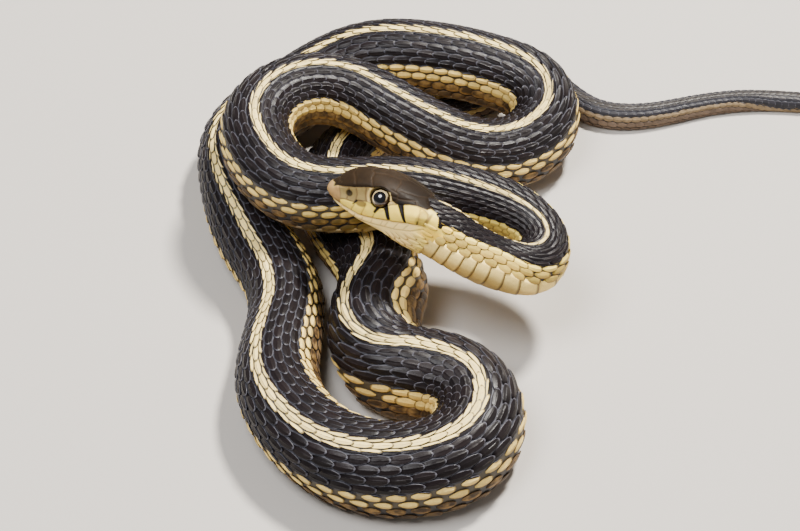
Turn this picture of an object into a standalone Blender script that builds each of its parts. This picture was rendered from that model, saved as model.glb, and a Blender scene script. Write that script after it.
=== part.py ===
# Garter snake, life size, at rest in loops on level ground with its raised head facing -X.
# Metres, +Z up. The origin is the middle of the box's bottom, on the ground under the loops.
#
# The whole animal is one line, its route, with a section carried along it. The route is a
# short list of points that the line bends through, from the snout to the tail's tip, each
# with the lean of the back there. Stretches that lie on the ground get their height from
# their own section, and their belly is flattened where it presses on the ground.
# The head has an outline of its own that turns into the body's section behind the jaws.

import math

import bmesh
import bpy
import numpy as np

MM = 0.001

# Driving dimensions, in millimetres
HEAD_LENGTH = 24.0
HEIGHT_TO_WIDTH = 0.94
BACK_SHARE = 0.56
BACK_ROUNDNESS = 2.15
BELLY_ROUNDNESS = 2.9
GROUND_PRESS = 0.35
GROUND_EASE = 1.0
ROUTE_STEP = 0.25
ROUTE_BULGE = 1.03
ROUTE_SOFTENING = 2.6
FRAME_SOFTENING = 2.5
PIECE_GAP = 0.3
RING_STEP = 3.8
HEAD_RING_STEP = 1.2
BODY_SIDES = 20
SNOUT_ROUND = 1.8
SNOUT_BLUNTNESS = 0.42
SNOUT_RECEDE = 0.6
RECEDE_LENGTH = 8.0
SCUTE_PITCH = 2.8
SCUTE_LIFT = 0.28
SCUTE_EDGE = 0.35
SCUTED_TO = 246.0
EYE_RADIUS = 2.0
EYE_PLACE = (11.9, 3.7, 2.1)
NOSTRIL_RADIUS = 0.5
NOSTRIL_PLACE = (5.3, 3.3, 1.2)

# Where the middle of the box's bottom lies in the frame that the route is drawn in
MIDDLE = (42.27, -6.5)

# The route: x, y, height of the axis and lean of the back towards the snake's own left.
# A height of GROUND means that the body lies on the ground there.
GROUND = 0.0
ROUTE = [
    # head, held level over the body
    (-14.5, -8.3, 32.6, -24),
    (-7.0, -10.8, 32.4, -24),
    (1.0, -13.6, 31.4, -28),
    # neck, sinking to the hairpin
    (6.5, -16.8, 29.4, -38),
    (11.5, -19.2, 26.4, -46),
    (15.5, -20.2, 24.2, -50),
    (20.0, -20.8, 22.0, -48),
    (25.0, -20.3, 20.4, -18),
    (29.2, -16.2, 20.2, 8),
    (28.8, -11.2, 20.6, 5),
    (24.0, -5.8, 21.8, -8),
    # back across behind the head
    (16.5, -3.0, 23.0, -12),
    (6.0, -1.5, 24.0, -5),
    (-4.0, -1.4, 23.6, 0),
    (-14.0, -1.8, 23.2, -2),
    # round the raised left loop
    (-22.2, 0.9, 23.0, -3),
    (-28.0, 8.3, 23.2, -2),
    (-30.4, 16.3, 23.6, 0),
    (-28.2, 23.8, 23.8, 0),
    (-21.0, 30.0, 23.0, 0),
    # down to the right
    (-11.5, 31.5, 21.0, 0),
    (-3.0, 28.5, 18.0, 0),
    (6.5, 25.0, 14.0, 0),
    (15.0, 23.5, 10.5, 0),
    (23.5, 25.5, 8.3, 0),
    # round the right loop
    (29.7, 29.7, 8.8, 0),
    (31.8, 35.2, 11.0, 0),
    (29.2, 40.2, 13.8, 0),
    (22.6, 43.2, 15.2, 3),
    # back across the top, lying over the root of the tail
    (14.3, 45.4, 16.2, 4),
    (6.5, 46.9, 16.6, 3),
    (-2.0, 47.9, 16.4, 3),
    (-11.0, 48.6, 13.4, 4),
    (-19.5, 45.8, 10.0, 8),
    # down the left side on the ground
    (-28.5, 39.5, GROUND, 20),
    (-35.0, 28.0, GROUND, 36),
    (-34.4, 17.0, GROUND, 35),
    (-32.5, 6.5, GROUND, 22),
    (-28.3, -3.5, GROUND, 22),
    (-24.2, -12.0, GROUND, 24),
    (-23.2, -21.0, GROUND, 25),
    (-24.0, -30.0, GROUND, 31),
    (-24.5, -39.5, GROUND, 28),
    (-21.5, -48.0, GROUND, 25),
    # round the front loop
    (-15.0, -56.0, GROUND, 21),
    (-7.5, -60.2, GROUND, 14),
    (1.0, -61.3, GROUND, 7),
    (9.8, -58.8, GROUND, 3),
    (14.8, -53.2, GROUND, 2),
    (15.7, -46.2, GROUND, 2),
    (12.3, -40.4, GROUND, 4),
    (6.4, -37.4, GROUND, 0),
    # back up under the raised loops
    (-0.4, -36.2, GROUND, 4),
    (-4.4, -31.8, GROUND, -24),
    (-5.0, -24.0, GROUND, -45),
    (-3.4, -15.8, GROUND, -32),
    (-3.9, -9.0, GROUND, -14),
    (-7.0, -2.0, GROUND, -12),
    (-11.5, 5.5, GROUND, -6),
    (-14.3, 14.0, GROUND, 0),
    (-14.0, 23.0, GROUND, 0),
    (-10.5, 30.5, GROUND, 0),
    # tail, under the top strand and out to the right
    (-5.0, 36.5, GROUND, 0),
    (2.0, 41.0, GROUND, 0),
    (10.0, 44.5, GROUND, 0),
    (18.0, 48.5, GROUND, 0),
    (25.5, 53.0, GROUND, 0),
    (32.5, 54.0, GROUND, 0),
    (37.5, 49.6, GROUND, 0),
    (44.0, 44.2, GROUND, 0),
    (55.5, 43.8, GROUND, 0),
    (67.0, 47.2, GROUND, 0),
    (78.0, 49.0, GROUND, 0),
    (89.5, 48.5, GROUND, 0),
    (104.0, 46.0, GROUND, 0),
    (116.5, 42.0, GROUND, 0),
    (128.0, 38.0, GROUND, 0),
]

# Width of the body at distances from the snout
WIDTHS = [
    (20, 12.8),
    (26, 12.0),
    (34, 11.5),
    (54, 11.0),
    (75, 12.8),
    (95, 15.0),
    (125, 15.4),
    (150, 15.0),
    (180, 15.0),
    (235, 15.8),
    (300, 16.3),
    (320, 15.8),
    (340, 15.2),
    (362, 16.8),
    (385, 18.0),
    (410, 18.6),
    (455, 18.6),
    (488, 16.4),
    (510, 13.0),
    (525, 10.2),
    (540, 8.4),
    (555, 7.2),
    (575, 6.0),
    (600, 5.0),
    (625, 4.4),
    (643, 3.8),
    (655, 2.9),
    (661, 1.9),
    (665, 0.9),
]

# Where the body is divided: each length's name and the distance from the snout where it starts
LENGTHS = [
    ("neck", 24),
    ("body_01_hairpin", 49),
    ("body_02_behind_head", 90),
    ("body_03_left_loop", 124),
    ("body_04_descent", 156),
    ("body_05_right_loop", 188),
    ("body_06_top", 214),
    ("body_07_top_left", 246),
    ("body_08_left_side", 278),
    ("body_09_left_side_middle", 314),
    ("body_10_left_side_front", 352),
    ("body_11_front_loop", 388),
    ("body_12_return", 424),
    ("body_13_return_middle", 454),
    ("body_14_return_back", 490),
    ("tail_1_root", 520),
    ("tail_2_bend", 556),
    ("tail_3_middle", 592),
    ("tail_4_tip", 632),
]

# The head's outline: at distances from the snout tip, eight points down its side, as a
# half width and a height each. The flat crown ends at the brow, and the groove between
# the two lips is the mouth.
HEAD_STATIONS = (1.8, 3.0, 5.0, 8.0, 12.0, 16.0, 19.0, 22.0, 25.0)
CROWN_MIDDLE = (2.5, 3.9, 5.4, 6.4, 6.6, 6.3, 5.9, 5.6, 5.6)
BROW_OUT = (1.9, 2.5, 3.2, 3.9, 4.6, 4.8, 4.6, 4.2, 3.8)
BROW_UP = (1.4, 2.3, 3.4, 4.5, 5.1, 4.9, 4.6, 4.5, 4.4)
CHEEK_OUT = (2.5, 3.0, 3.4, 3.9, 4.8, 6.1, 6.8, 6.6, 5.6)
CHEEK_UP = (0.4, 0.8, 1.2, 1.6, 1.9, 2.2, 2.8, 3.1, 2.8)
LIP_OUT = (2.6, 3.2, 3.8, 4.5, 5.3, 6.4, 7.1, 6.9, 5.9)
LIP_OVER_MOUTH = (0.6, 0.9, 1.3, 1.6, 1.6, 1.3, 1.1, 1.0, 1.0)
MOUTH_UP = (-1.3, -1.5, -1.9, -2.4, -2.0, -0.95, 0.2, 1.2, 0.9)
MOUTH_GROOVE = (0.3, 0.35, 0.35, 0.35, 0.35, 0.35, 0.35, 0.2, 0.0)
CHIN_OUT = (2.3, 2.8, 3.3, 4.0, 4.8, 5.8, 6.6, 6.7, 5.9)
CHIN_UNDER_MOUTH = (0.5, 0.7, 0.7, 0.75, 1.2, 1.75, 2.4, 2.9, 2.6)
JAW_OUT = (1.6, 1.9, 2.3, 2.9, 3.7, 4.5, 5.1, 5.3, 5.0)
JAW_OVER_THROAT = (0.2, 0.3, 0.4, 0.6, 0.8, 1.0, 1.1, 1.2, 1.2)
THROAT_UP = (-2.4, -2.9, -3.6, -4.5, -5.2, -5.6, -5.8, -5.7, -5.5)
CENTRE_UP = -0.1
POINTS_A_SPAN = 3
HEAD_TO_BODY = (20.0, 28.0)

# Distances of the rings round the snout
SNOUT_RINGS = (0.05, 0.2, 0.45, 0.8, 1.3, 2.0, 3.0, 4.0)

# The points of a ring between which the belly scutes rise from the flank to their full lift
NECK_BELLY = (12, 15)
BODY_BELLY = (6, 7.5)

# Looks: colour, roughness and metallic value
LOOKS = {
    "head": ((0.16, 0.11, 0.06), 0.45, 0.0),
    "eye": ((0.02, 0.015, 0.012), 0.1, 0.0),
    "neck": ((0.42, 0.31, 0.12), 0.5, 0.0),
    "body": ((0.05, 0.045, 0.05), 0.5, 0.0),
    "tail": ((0.12, 0.1, 0.09), 0.55, 0.0),
}


def clear_scene():
    for thing in list(bpy.data.objects):
        bpy.data.objects.remove(thing)


def natural_spline(knots, values, at):
    """Cubic spline with free ends through values at the knots, read at the places in at."""
    count = len(knots)
    step = np.diff(knots)
    system = np.eye(count)
    right = np.zeros((count, values.shape[1]))
    for i in range(1, count - 1):
        system[i, i - 1] = step[i - 1]
        system[i, i] = 2 * (step[i - 1] + step[i])
        system[i, i + 1] = step[i]
        after = (values[i + 1] - values[i]) / step[i]
        before = (values[i] - values[i - 1]) / step[i - 1]
        right[i] = 6 * (after - before)
    bend = np.linalg.solve(system, right)
    span = np.clip(np.searchsorted(knots, at) - 1, 0, count - 2)
    wide = step[span][:, None]
    ahead = (at - knots[span])[:, None]
    behind = (knots[span + 1] - at)[:, None]
    curve = (bend[span] * behind**3 + bend[span + 1] * ahead**3) / (6 * wide)
    start = (values[span] / wide - bend[span] * wide / 6) * behind
    end = (values[span + 1] / wide - bend[span + 1] * wide / 6) * ahead
    return curve + start + end


def body_section(angles, width):
    """The body's section: an arched back over a flatter belly, as side and up."""
    height = width * HEIGHT_TO_WIDTH
    up_part = np.cos(angles)
    side_part = np.sin(angles)
    back = up_part > 0
    power = np.where(back, 2 / BACK_ROUNDNESS, 2 / BELLY_ROUNDNESS)
    share = np.where(back, BACK_SHARE, BACK_SHARE - 1)
    up = share * height * np.abs(up_part) ** power
    side = np.sign(side_part) * np.abs(side_part) ** power * width / 2
    return side, up


def lowest_reach(width, lean):
    """How far the leaning section reaches below its axis."""
    side, up = body_section(np.linspace(0, 2 * math.pi, 61), width)
    return -(up * math.cos(lean) - side * math.sin(lean)).min()


def width_at(distance):
    return np.interp(distance, [d for d, w in WIDTHS], [w for d, w in WIDTHS])


def softened(values, spread):
    """The values along the route, each averaged with its neighbours."""
    reach = int(3 * spread / ROUTE_STEP)
    weights = np.exp(-0.5 * (np.arange(-reach, reach + 1) * ROUTE_STEP / spread) ** 2)
    weights /= weights.sum()
    steps = np.arange(1, reach + 1)[:, None]
    before = values[0] - steps[::-1] * (values[1] - values[0])
    after = values[-1] + steps * (values[-1] - values[-2])
    padded = np.vstack([before, values, after])
    columns = [np.convolve(padded[:, k], weights, "valid") for k in range(values.shape[1])]
    return np.stack(columns, 1)


def evenly_spaced(line):
    """The same line with a point every ROUTE_STEP along it."""
    step = np.linalg.norm(np.diff(line[:, :3], axis=0), axis=1)
    run = np.concatenate([[0], np.cumsum(step)])
    at = np.arange(0, run[-1], ROUTE_STEP)
    return at, np.stack([np.interp(at, run, line[:, k]) for k in range(line.shape[1])], 1)


def waypoints():
    """The route's points, with a height worked out for each that lies on the ground."""
    flat = np.array([(x, y, lean) for x, y, height, lean in ROUTE])
    hop = np.linalg.norm(np.diff(flat[:, :2], axis=0), axis=1)
    run = np.concatenate([[0], np.cumsum(hop)]) * ROUTE_BULGE
    points = []
    for (x, y, height, lean), distance in zip(ROUTE, run):
        if height == GROUND:
            rest = lowest_reach(width_at(distance), math.radians(lean))
            height = rest - GROUND_PRESS
        points.append((x - MIDDLE[0], y - MIDDLE[1], height, lean))
    return np.array(points)


def lay_route():
    """The axis with its frames: distances, points, tailward, up and side directions."""
    points = waypoints()
    hop = np.linalg.norm(np.diff(points[:, :3], axis=0), axis=1)
    knots = np.concatenate([[0], np.cumsum(hop**0.75)])
    line = natural_spline(knots, points, np.linspace(0, knots[-1], 4000))
    run, line = evenly_spaced(line)
    line = softened(line, ROUTE_SOFTENING)
    run, line = evenly_spaced(line)
    lean = np.radians(line[:, 3])
    rest = np.array([lowest_reach(width_at(d), a) for d, a in zip(run, lean)])
    above = line[:, 2] - (rest - GROUND_PRESS)
    eased = 0.5 * (above + np.sqrt(above**2 + GROUND_EASE**2) - GROUND_EASE)
    line[:, 2] = rest - GROUND_PRESS + eased
    tailward = softened(np.gradient(line[:, :3], axis=0), FRAME_SOFTENING)
    tailward /= np.linalg.norm(tailward, axis=1)[:, None]
    sky = np.array([0, 0, 1.0])
    up = sky - (tailward @ sky)[:, None] * tailward
    up /= np.linalg.norm(up, axis=1)[:, None]
    side = np.cross(tailward, up)
    turn = lean[:, None]
    leaning_up = np.cos(turn) * up + np.sin(turn) * side
    leaning_side = np.cos(turn) * side - np.sin(turn) * up
    return run, line[:, :3], tailward, leaning_up, leaning_side


ROUTE_RUN, AXIS, TAILWARD, UPWARD, SIDEWARD = lay_route()


def read_along(values, distance):
    return np.array([np.interp(distance, ROUTE_RUN, values[:, k]) for k in range(3)])


def place(distance, side, up):
    """A point beside and above the axis, at a distance from the snout, in millimetres."""
    middle = read_along(AXIS, distance)
    across = read_along(SIDEWARD, distance)
    over = read_along(UPWARD, distance)
    return middle + across * side + over * up


def read_smoothly(at, stations, values):
    """The value at a place between stations, on a smooth curve through them."""
    places = np.array(stations)
    slopes = np.gradient(np.array(values), places)
    i = int(np.clip(np.searchsorted(places, at) - 1, 0, len(places) - 2))
    span = places[i + 1] - places[i]
    t = min(max((at - places[i]) / span, 0.0), 1.0)
    start = values[i] * (1 + 2 * t) * (1 - t) ** 2 + slopes[i] * span * t * (1 - t) ** 2
    end = values[i + 1] * t * t * (3 - 2 * t) + slopes[i + 1] * span * t * t * (t - 1)
    return start + end


def head_outline(distance):
    """The head's outline, from the crown's middle down its left side to the throat."""
    at = max(distance, SNOUT_ROUND)

    def station(values):
        return read_smoothly(at, HEAD_STATIONS, values)

    mouth = station(MOUTH_UP)
    throat = station(THROAT_UP)
    corners = [
        (0.0, station(CROWN_MIDDLE)),
        (station(BROW_OUT), station(BROW_UP)),
        (station(CHEEK_OUT), station(CHEEK_UP)),
        (station(LIP_OUT), mouth + station(LIP_OVER_MOUTH)),
        (station(LIP_OUT) - station(MOUTH_GROOVE), mouth),
        (station(CHIN_OUT), mouth - station(CHIN_UNDER_MOUTH)),
        (station(JAW_OUT), throat + station(JAW_OVER_THROAT)),
        (0.0, throat),
    ]
    return np.array(corners)


def smooth_outline(corners, per_span):
    """A smooth line through the corners, with a point on each and more between them."""
    first = corners[1] * (-1, 1)
    last = corners[-2] * (-1, 1)
    knots = np.vstack([first, corners, last])
    points = []
    for i in range(1, len(knots) - 2):
        for k in range(per_span):
            t = k / per_span
            a, b, c, d = knots[i - 1 : i + 3]
            along = 2 * b + (c - a) * t
            along = along + (2 * a - 5 * b + 4 * c - d) * t**2
            along = along + (3 * b - a - 3 * c + d) * t**3
            points.append(along / 2)
    points.append(corners[-1])
    return np.array(points)


def ease(value, low, high):
    t = min(max((value - low) / (high - low), 0.0), 1.0)
    return t * t * (3 - 2 * t)


def outline_at(distance, per_span=POINTS_A_SPAN):
    """Whole outline of the head or the neck behind it, as side and up round the body."""
    left = smooth_outline(head_outline(distance), per_span)
    angles = np.linspace(0, math.pi, len(left))
    side, up = body_section(angles, width_at(distance))
    share = ease(distance, *HEAD_TO_BODY)
    left = left * (1 - share) + np.stack([side, up], 1) * share
    if distance < SNOUT_ROUND:
        shrink = (distance / SNOUT_ROUND) ** SNOUT_BLUNTNESS
        left = (left - (0, CENTRE_UP)) * shrink + (0, CENTRE_UP)
    right = left[-2:0:-1] * (-1, 1)
    return np.vstack([left, right])


def head_ring(distance):
    """A ring of the head. Round the snout its lower half lies further back."""
    fade = SNOUT_RECEDE * (1 - ease(distance, 0, RECEDE_LENGTH))
    ring = outline_at(distance)
    return [place(distance + fade * max(0.0, -up), side, up) for side, up in ring]


def body_outline(distance):
    angles = np.linspace(0, 2 * math.pi, BODY_SIDES, endpoint=False)
    return np.stack(body_section(angles, width_at(distance)), 1)


def body_ring(distance):
    """A ring of the body, with its belly flattened by the ground."""
    ring = [place(distance, side, up) for side, up in body_outline(distance)]
    for point in ring:
        point[2] = max(point[2], 0.0)
    return ring


def scuted(outline, distance, belly_from, rear_edge):
    """A ring through the outline, its belly lifted a little where a scute's rear edge lies."""
    ring = []
    for index, (side, up) in enumerate(outline):
        below = ease(index, *belly_from) * ease(len(outline) - index, *belly_from)
        lift = SCUTE_LIFT * below * rear_edge
        reach = math.hypot(side, up) or 1.0
        ring.append(place(distance, side * (1 + lift / reach), up * (1 + lift / reach)))
    return ring


def even_steps(start, end, step):
    count = max(2, round((end - start) / step) + 1)
    return np.linspace(start, end, count)


def loft(name, rings):
    """One closed mesh through the rings, from the head's end to the tail's, flat at both ends."""
    middle = np.mean([np.mean(ring, axis=0) for ring in rings], axis=0)
    mesh = bpy.data.meshes.new(name)
    shape = bmesh.new()
    rows = []
    for ring in rings:
        rows.append([shape.verts.new((p - middle) * MM) for p in ring])
    for front, rear in zip(rows, rows[1:]):
        count = len(front)
        for i in range(count):
            after = (i + 1) % count
            shape.faces.new((front[i], rear[i], rear[after], front[after]))
    shape.faces.new(rows[0])
    shape.faces.new(rows[-1][::-1])
    bmesh.ops.triangulate(shape, faces=shape.faces[:])
    bmesh.ops.recalc_face_normals(shape, faces=shape.faces[:])
    if shape.calc_volume(signed=True) < 0:
        bmesh.ops.reverse_faces(shape, faces=shape.faces[:])
    shape.to_mesh(mesh)
    shape.free()
    mesh.shade_smooth()
    mesh.set_sharp_from_angle(angle=math.radians(50))
    piece = bpy.data.objects.new(name, mesh)
    piece.location = middle * MM
    bpy.context.scene.collection.objects.link(piece)
    return piece


def ball(name, centre, radius, around, rows):
    """A ball, its middle given in millimetres."""
    mesh = bpy.data.meshes.new(name)
    shape = bmesh.new()
    bmesh.ops.create_uvsphere(shape, u_segments=around, v_segments=rows, radius=radius * MM)
    shape.to_mesh(mesh)
    shape.free()
    mesh.shade_smooth()
    piece = bpy.data.objects.new(name, mesh)
    piece.location = np.array(centre) * MM
    bpy.context.scene.collection.objects.link(piece)
    return piece


def make_material(name, kind):
    colour, roughness, metallic = LOOKS[kind]
    material = bpy.data.materials.new(name)
    material.use_nodes = True
    shader = material.node_tree.nodes["Principled BSDF"]
    shader.inputs["Base Color"].default_value = (*colour, 1)
    shader.inputs["Roughness"].default_value = roughness
    shader.inputs["Metallic"].default_value = metallic
    return material


def finish_piece(piece, kind, parent):
    piece.data.materials.append(make_material(piece.name + "_look", kind))
    piece.parent = parent


def cut_with(piece, cutter):
    """Takes the cutter's shape out of the piece. The cutter itself isn't part of the snake."""
    cutter.hide_render = True
    cutter.display_type = "WIRE"
    cut = piece.modifiers.new("cut_" + cutter.name, "BOOLEAN")
    cut.operation = "DIFFERENCE"
    cut.solver = "EXACT"
    cut.object = cutter


def make_head(parent):
    """The head, with the mouth as a groove and a hollow for each eye and nostril."""
    first = SNOUT_RINGS[-1] + HEAD_RING_STEP
    cheeks = even_steps(first, HEAD_LENGTH - PIECE_GAP / 2, HEAD_RING_STEP)
    head = loft("head", [head_ring(d) for d in (*SNOUT_RINGS, *cheeks)])
    finish_piece(head, "head", parent)
    for word, sign in (("left", 1), ("right", -1)):
        along, out, up = EYE_PLACE
        centre = place(along, sign * out, up)
        socket = ball("eye_hollow_" + word, centre, EYE_RADIUS + PIECE_GAP, 24, 14)
        cut_with(head, socket)
        eye = ball("eye_" + word, centre, EYE_RADIUS, 20, 12)
        finish_piece(eye, "eye", parent)
        along, out, up = NOSTRIL_PLACE
        hole = place(along, sign * out, up)
        cut_with(head, ball("nostril_" + word, hole, NOSTRIL_RADIUS, 12, 8))


def scuted_rings(outline_of, start, end, belly_from):
    """Rings for a raised length: each belly scute rises from its front edge to its rear edge."""
    edges = even_steps(start, end, SCUTE_PITCH)
    rings = []
    for front, rear in zip(edges, edges[1:]):
        rings.append(scuted(outline_of(front), front, belly_from, False))
        under = rear - SCUTE_EDGE
        rings.append(scuted(outline_of(under), under, belly_from, True))
    rings.append(scuted(outline_of(end), end, belly_from, False))
    return rings


def make_body(parent):
    """The neck, the body and the tail. The raised lengths show their belly scutes."""
    ends = [start for name, start in LENGTHS[1:]] + [ROUTE_RUN[-1] + PIECE_GAP / 2]
    for (name, start), end in zip(LENGTHS, ends):
        start += PIECE_GAP / 2
        end -= PIECE_GAP / 2
        if name == "neck":
            rings = scuted_rings(outline_at, start, end, NECK_BELLY)
        elif end < SCUTED_TO:
            rings = scuted_rings(body_outline, start, end, BODY_BELLY)
        else:
            rings = [body_ring(d) for d in even_steps(start, end, RING_STEP)]
        finish_piece(loft(name, rings), name.split("_")[0], parent)


def main():
    clear_scene()
    snake = bpy.data.objects.new("garter_snake", None)
    bpy.context.scene.collection.objects.link(snake)
    make_head(snake)
    make_body(snake)


main()
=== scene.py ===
# %% [markdown]
# # A garter snake at rest
#
# The snake lies in loose loops, with its head held level over them. Its skin is one long tube,
# and over it lie thousands of small keeled scales, each one tucked under the ones in front.
# This lesson first works out the surface of the body in numbers. Then it lays the scales and
# the belly plates on it, makes the throat's small scales, the skin with the head, and the eyes,
# and leaves the paint for the end. Lengths in the lists are in millimetres.

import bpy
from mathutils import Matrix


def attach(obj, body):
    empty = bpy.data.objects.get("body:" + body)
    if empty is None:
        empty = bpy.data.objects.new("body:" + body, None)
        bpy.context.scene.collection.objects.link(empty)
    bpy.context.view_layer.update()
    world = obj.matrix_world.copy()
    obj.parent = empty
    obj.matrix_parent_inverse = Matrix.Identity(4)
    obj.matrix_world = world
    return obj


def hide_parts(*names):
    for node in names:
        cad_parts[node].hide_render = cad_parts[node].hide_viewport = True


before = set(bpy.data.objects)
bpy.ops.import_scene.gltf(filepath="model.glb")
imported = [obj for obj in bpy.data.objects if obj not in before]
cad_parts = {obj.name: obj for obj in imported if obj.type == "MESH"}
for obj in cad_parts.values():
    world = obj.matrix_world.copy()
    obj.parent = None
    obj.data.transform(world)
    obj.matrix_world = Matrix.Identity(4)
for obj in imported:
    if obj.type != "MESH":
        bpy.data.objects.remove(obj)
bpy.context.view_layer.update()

# %% [markdown]
# ## What the snake is drawn with
#
# The whole animal is one line, the route, with a section carried along it. A few points and a
# few widths are enough: the line bends through the points, and the widths are read between
# their marks. These are the same driving values that the solids are made from, so the skin
# lies where the solids are.

# %% Libraries and the main sizes
import math

import bpy
import numpy as np
from mathutils import Vector

MM = 0.001
# the body's section
HEIGHT_TO_WIDTH = 0.94
BACK_SHARE = 0.56
BACK_ROUNDNESS = 2.15
BELLY_ROUNDNESS = 2.9
# how the belly meets the ground
GROUND_PRESS = 0.35
GROUND_EASE = 1.0
# how finely the route is drawn, and how it is smoothed
ROUTE_STEP = 0.25
ROUTE_BULGE = 1.03
ROUTE_SOFTENING = 2.6
FRAME_SOFTENING = 2.5
# the snout's rounding, and where the head's outline gives way to the body's
SNOUT_ROUND = 1.8
SNOUT_BLUNTNESS = 0.42
SNOUT_RECEDE = 0.6
RECEDE_LENGTH = 8.0
CENTRE_UP = -0.1
HEAD_TO_BODY = (20.0, 28.0)
# the middle of the part's box on the route's own plan, and the mark for a point on the ground
MIDDLE = (42.27, -6.5)
GROUND = 0.0
draws = np.random.default_rng(7)
print("section", HEIGHT_TO_WIDTH, "as high as wide; snout rounded over", SNOUT_ROUND, "mm")

# %% The route: x, y, height of the axis and lean of the back
ROUTE = [
    # head, held level over the body
    (-14.5, -8.3, 32.6, -24),
    (-7.0, -10.8, 32.4, -24),
    (1.0, -13.6, 31.4, -28),
    # neck, sinking to the hairpin
    (6.5, -16.8, 29.4, -38),
    (11.5, -19.2, 26.4, -46),
    (15.5, -20.2, 24.2, -50),
    (20.0, -20.8, 22.0, -48),
    (25.0, -20.3, 20.4, -18),
    (29.2, -16.2, 20.2, 8),
    (28.8, -11.2, 20.6, 5),
    (24.0, -5.8, 21.8, -8),
    # back across behind the head
    (16.5, -3.0, 23.0, -12),
    (6.0, -1.5, 24.0, -5),
    (-4.0, -1.4, 23.6, 0),
    (-14.0, -1.8, 23.2, -2),
    # round the raised left loop
    (-22.2, 0.9, 23.0, -3),
    (-28.0, 8.3, 23.2, -2),
    (-30.4, 16.3, 23.6, 0),
    (-28.2, 23.8, 23.8, 0),
    (-21.0, 30.0, 23.0, 0),
    # down to the right
    (-11.5, 31.5, 21.0, 0),
    (-3.0, 28.5, 18.0, 0),
    (6.5, 25.0, 14.0, 0),
    (15.0, 23.5, 10.5, 0),
    (23.5, 25.5, 8.3, 0),
    # round the right loop
    (29.7, 29.7, 8.8, 0),
    (31.8, 35.2, 11.0, 0),
    (29.2, 40.2, 13.8, 0),
    (22.6, 43.2, 15.2, 3),
    # back across the top, lying over the root of the tail
    (14.3, 45.4, 16.2, 4),
    (6.5, 46.9, 16.6, 3),
    (-2.0, 47.9, 16.4, 3),
    (-11.0, 48.6, 13.4, 4),
    (-19.5, 45.8, 10.0, 8),
    # down the left side on the ground
    (-28.5, 39.5, GROUND, 20),
    (-35.0, 28.0, GROUND, 36),
    (-34.4, 17.0, GROUND, 35),
    (-32.5, 6.5, GROUND, 22),
    (-28.3, -3.5, GROUND, 22),
    (-24.2, -12.0, GROUND, 24),
    (-23.2, -21.0, GROUND, 25),
    (-24.0, -30.0, GROUND, 31),
    (-24.5, -39.5, GROUND, 28),
    (-21.5, -48.0, GROUND, 25),
    # round the front loop
    (-15.0, -56.0, GROUND, 21),
    (-7.5, -60.2, GROUND, 14),
    (1.0, -61.3, GROUND, 7),
    (9.8, -58.8, GROUND, 3),
    (14.8, -53.2, GROUND, 2),
    (15.7, -46.2, GROUND, 2),
    (12.3, -40.4, GROUND, 4),
    (6.4, -37.4, GROUND, 0),
    # back up under the raised loops
    (-0.4, -36.2, GROUND, 4),
    (-4.4, -31.8, GROUND, -24),
    (-5.0, -24.0, GROUND, -45),
    (-3.4, -15.8, GROUND, -32),
    (-3.9, -9.0, GROUND, -14),
    (-7.0, -2.0, GROUND, -12),
    (-11.5, 5.5, GROUND, -6),
    (-14.3, 14.0, GROUND, 0),
    (-14.0, 23.0, GROUND, 0),
    (-10.5, 30.5, GROUND, 0),
    # tail, under the top strand and out to the right
    (-5.0, 36.5, GROUND, 0),
    (2.0, 41.0, GROUND, 0),
    (10.0, 44.5, GROUND, 0),
    (18.0, 48.5, GROUND, 0),
    (25.5, 53.0, GROUND, 0),
    (32.5, 54.0, GROUND, 0),
    (37.5, 49.6, GROUND, 0),
    (44.0, 44.2, GROUND, 0),
    (55.5, 43.8, GROUND, 0),
    (67.0, 47.2, GROUND, 0),
    (78.0, 49.0, GROUND, 0),
    (89.5, 48.5, GROUND, 0),
    (104.0, 46.0, GROUND, 0),
    (116.5, 42.0, GROUND, 0),
    (128.0, 38.0, GROUND, 0),
]
print("route of", len(ROUTE), "points")

# %% [markdown]
# The body is slim behind the head, thickest in the front loop, and thin in the tail. One list
# of widths says so: it is read between its marks, so no two lengths of the body meet in a step.

# %% Width of the body at distances from the snout
WIDTHS = [
    (20, 12.8),
    (26, 12.0),
    (34, 11.5),
    (54, 11.0),
    (75, 12.8),
    (95, 15.0),
    (125, 15.4),
    (150, 15.0),
    (180, 15.0),
    (235, 15.8),
    (300, 16.3),
    (320, 15.8),
    (340, 15.2),
    (362, 16.8),
    (385, 18.0),
    (410, 18.6),
    (455, 18.6),
    (488, 16.4),
    (510, 13.0),
    (525, 10.2),
    (540, 8.4),
    (555, 7.2),
    (575, 6.0),
    (600, 5.0),
    (625, 4.4),
    (643, 3.8),
    (655, 2.9),
    (661, 1.9),
    (665, 0.9),
]


def read_line(line, at):
    """The height of a line of points, read at places along it."""
    return np.interp(at, [a for a, b in line], [b for a, b in line])


def width_at(distance):
    return read_line(WIDTHS, distance)


print("widest", width_at(410.0), "mm; tail's tip", width_at(660.0), "mm")

# %% [markdown]
# A snake's head isn't a plain oval: it has a flat crown, a brow, a cheek, lips that close over
# each other, a chin and a soft throat. It could be sculpted by hand, but then nothing could be
# measured again. Here eight points down its side are given at nine stations behind the snout,
# and smooth curves run through them both ways.

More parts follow.
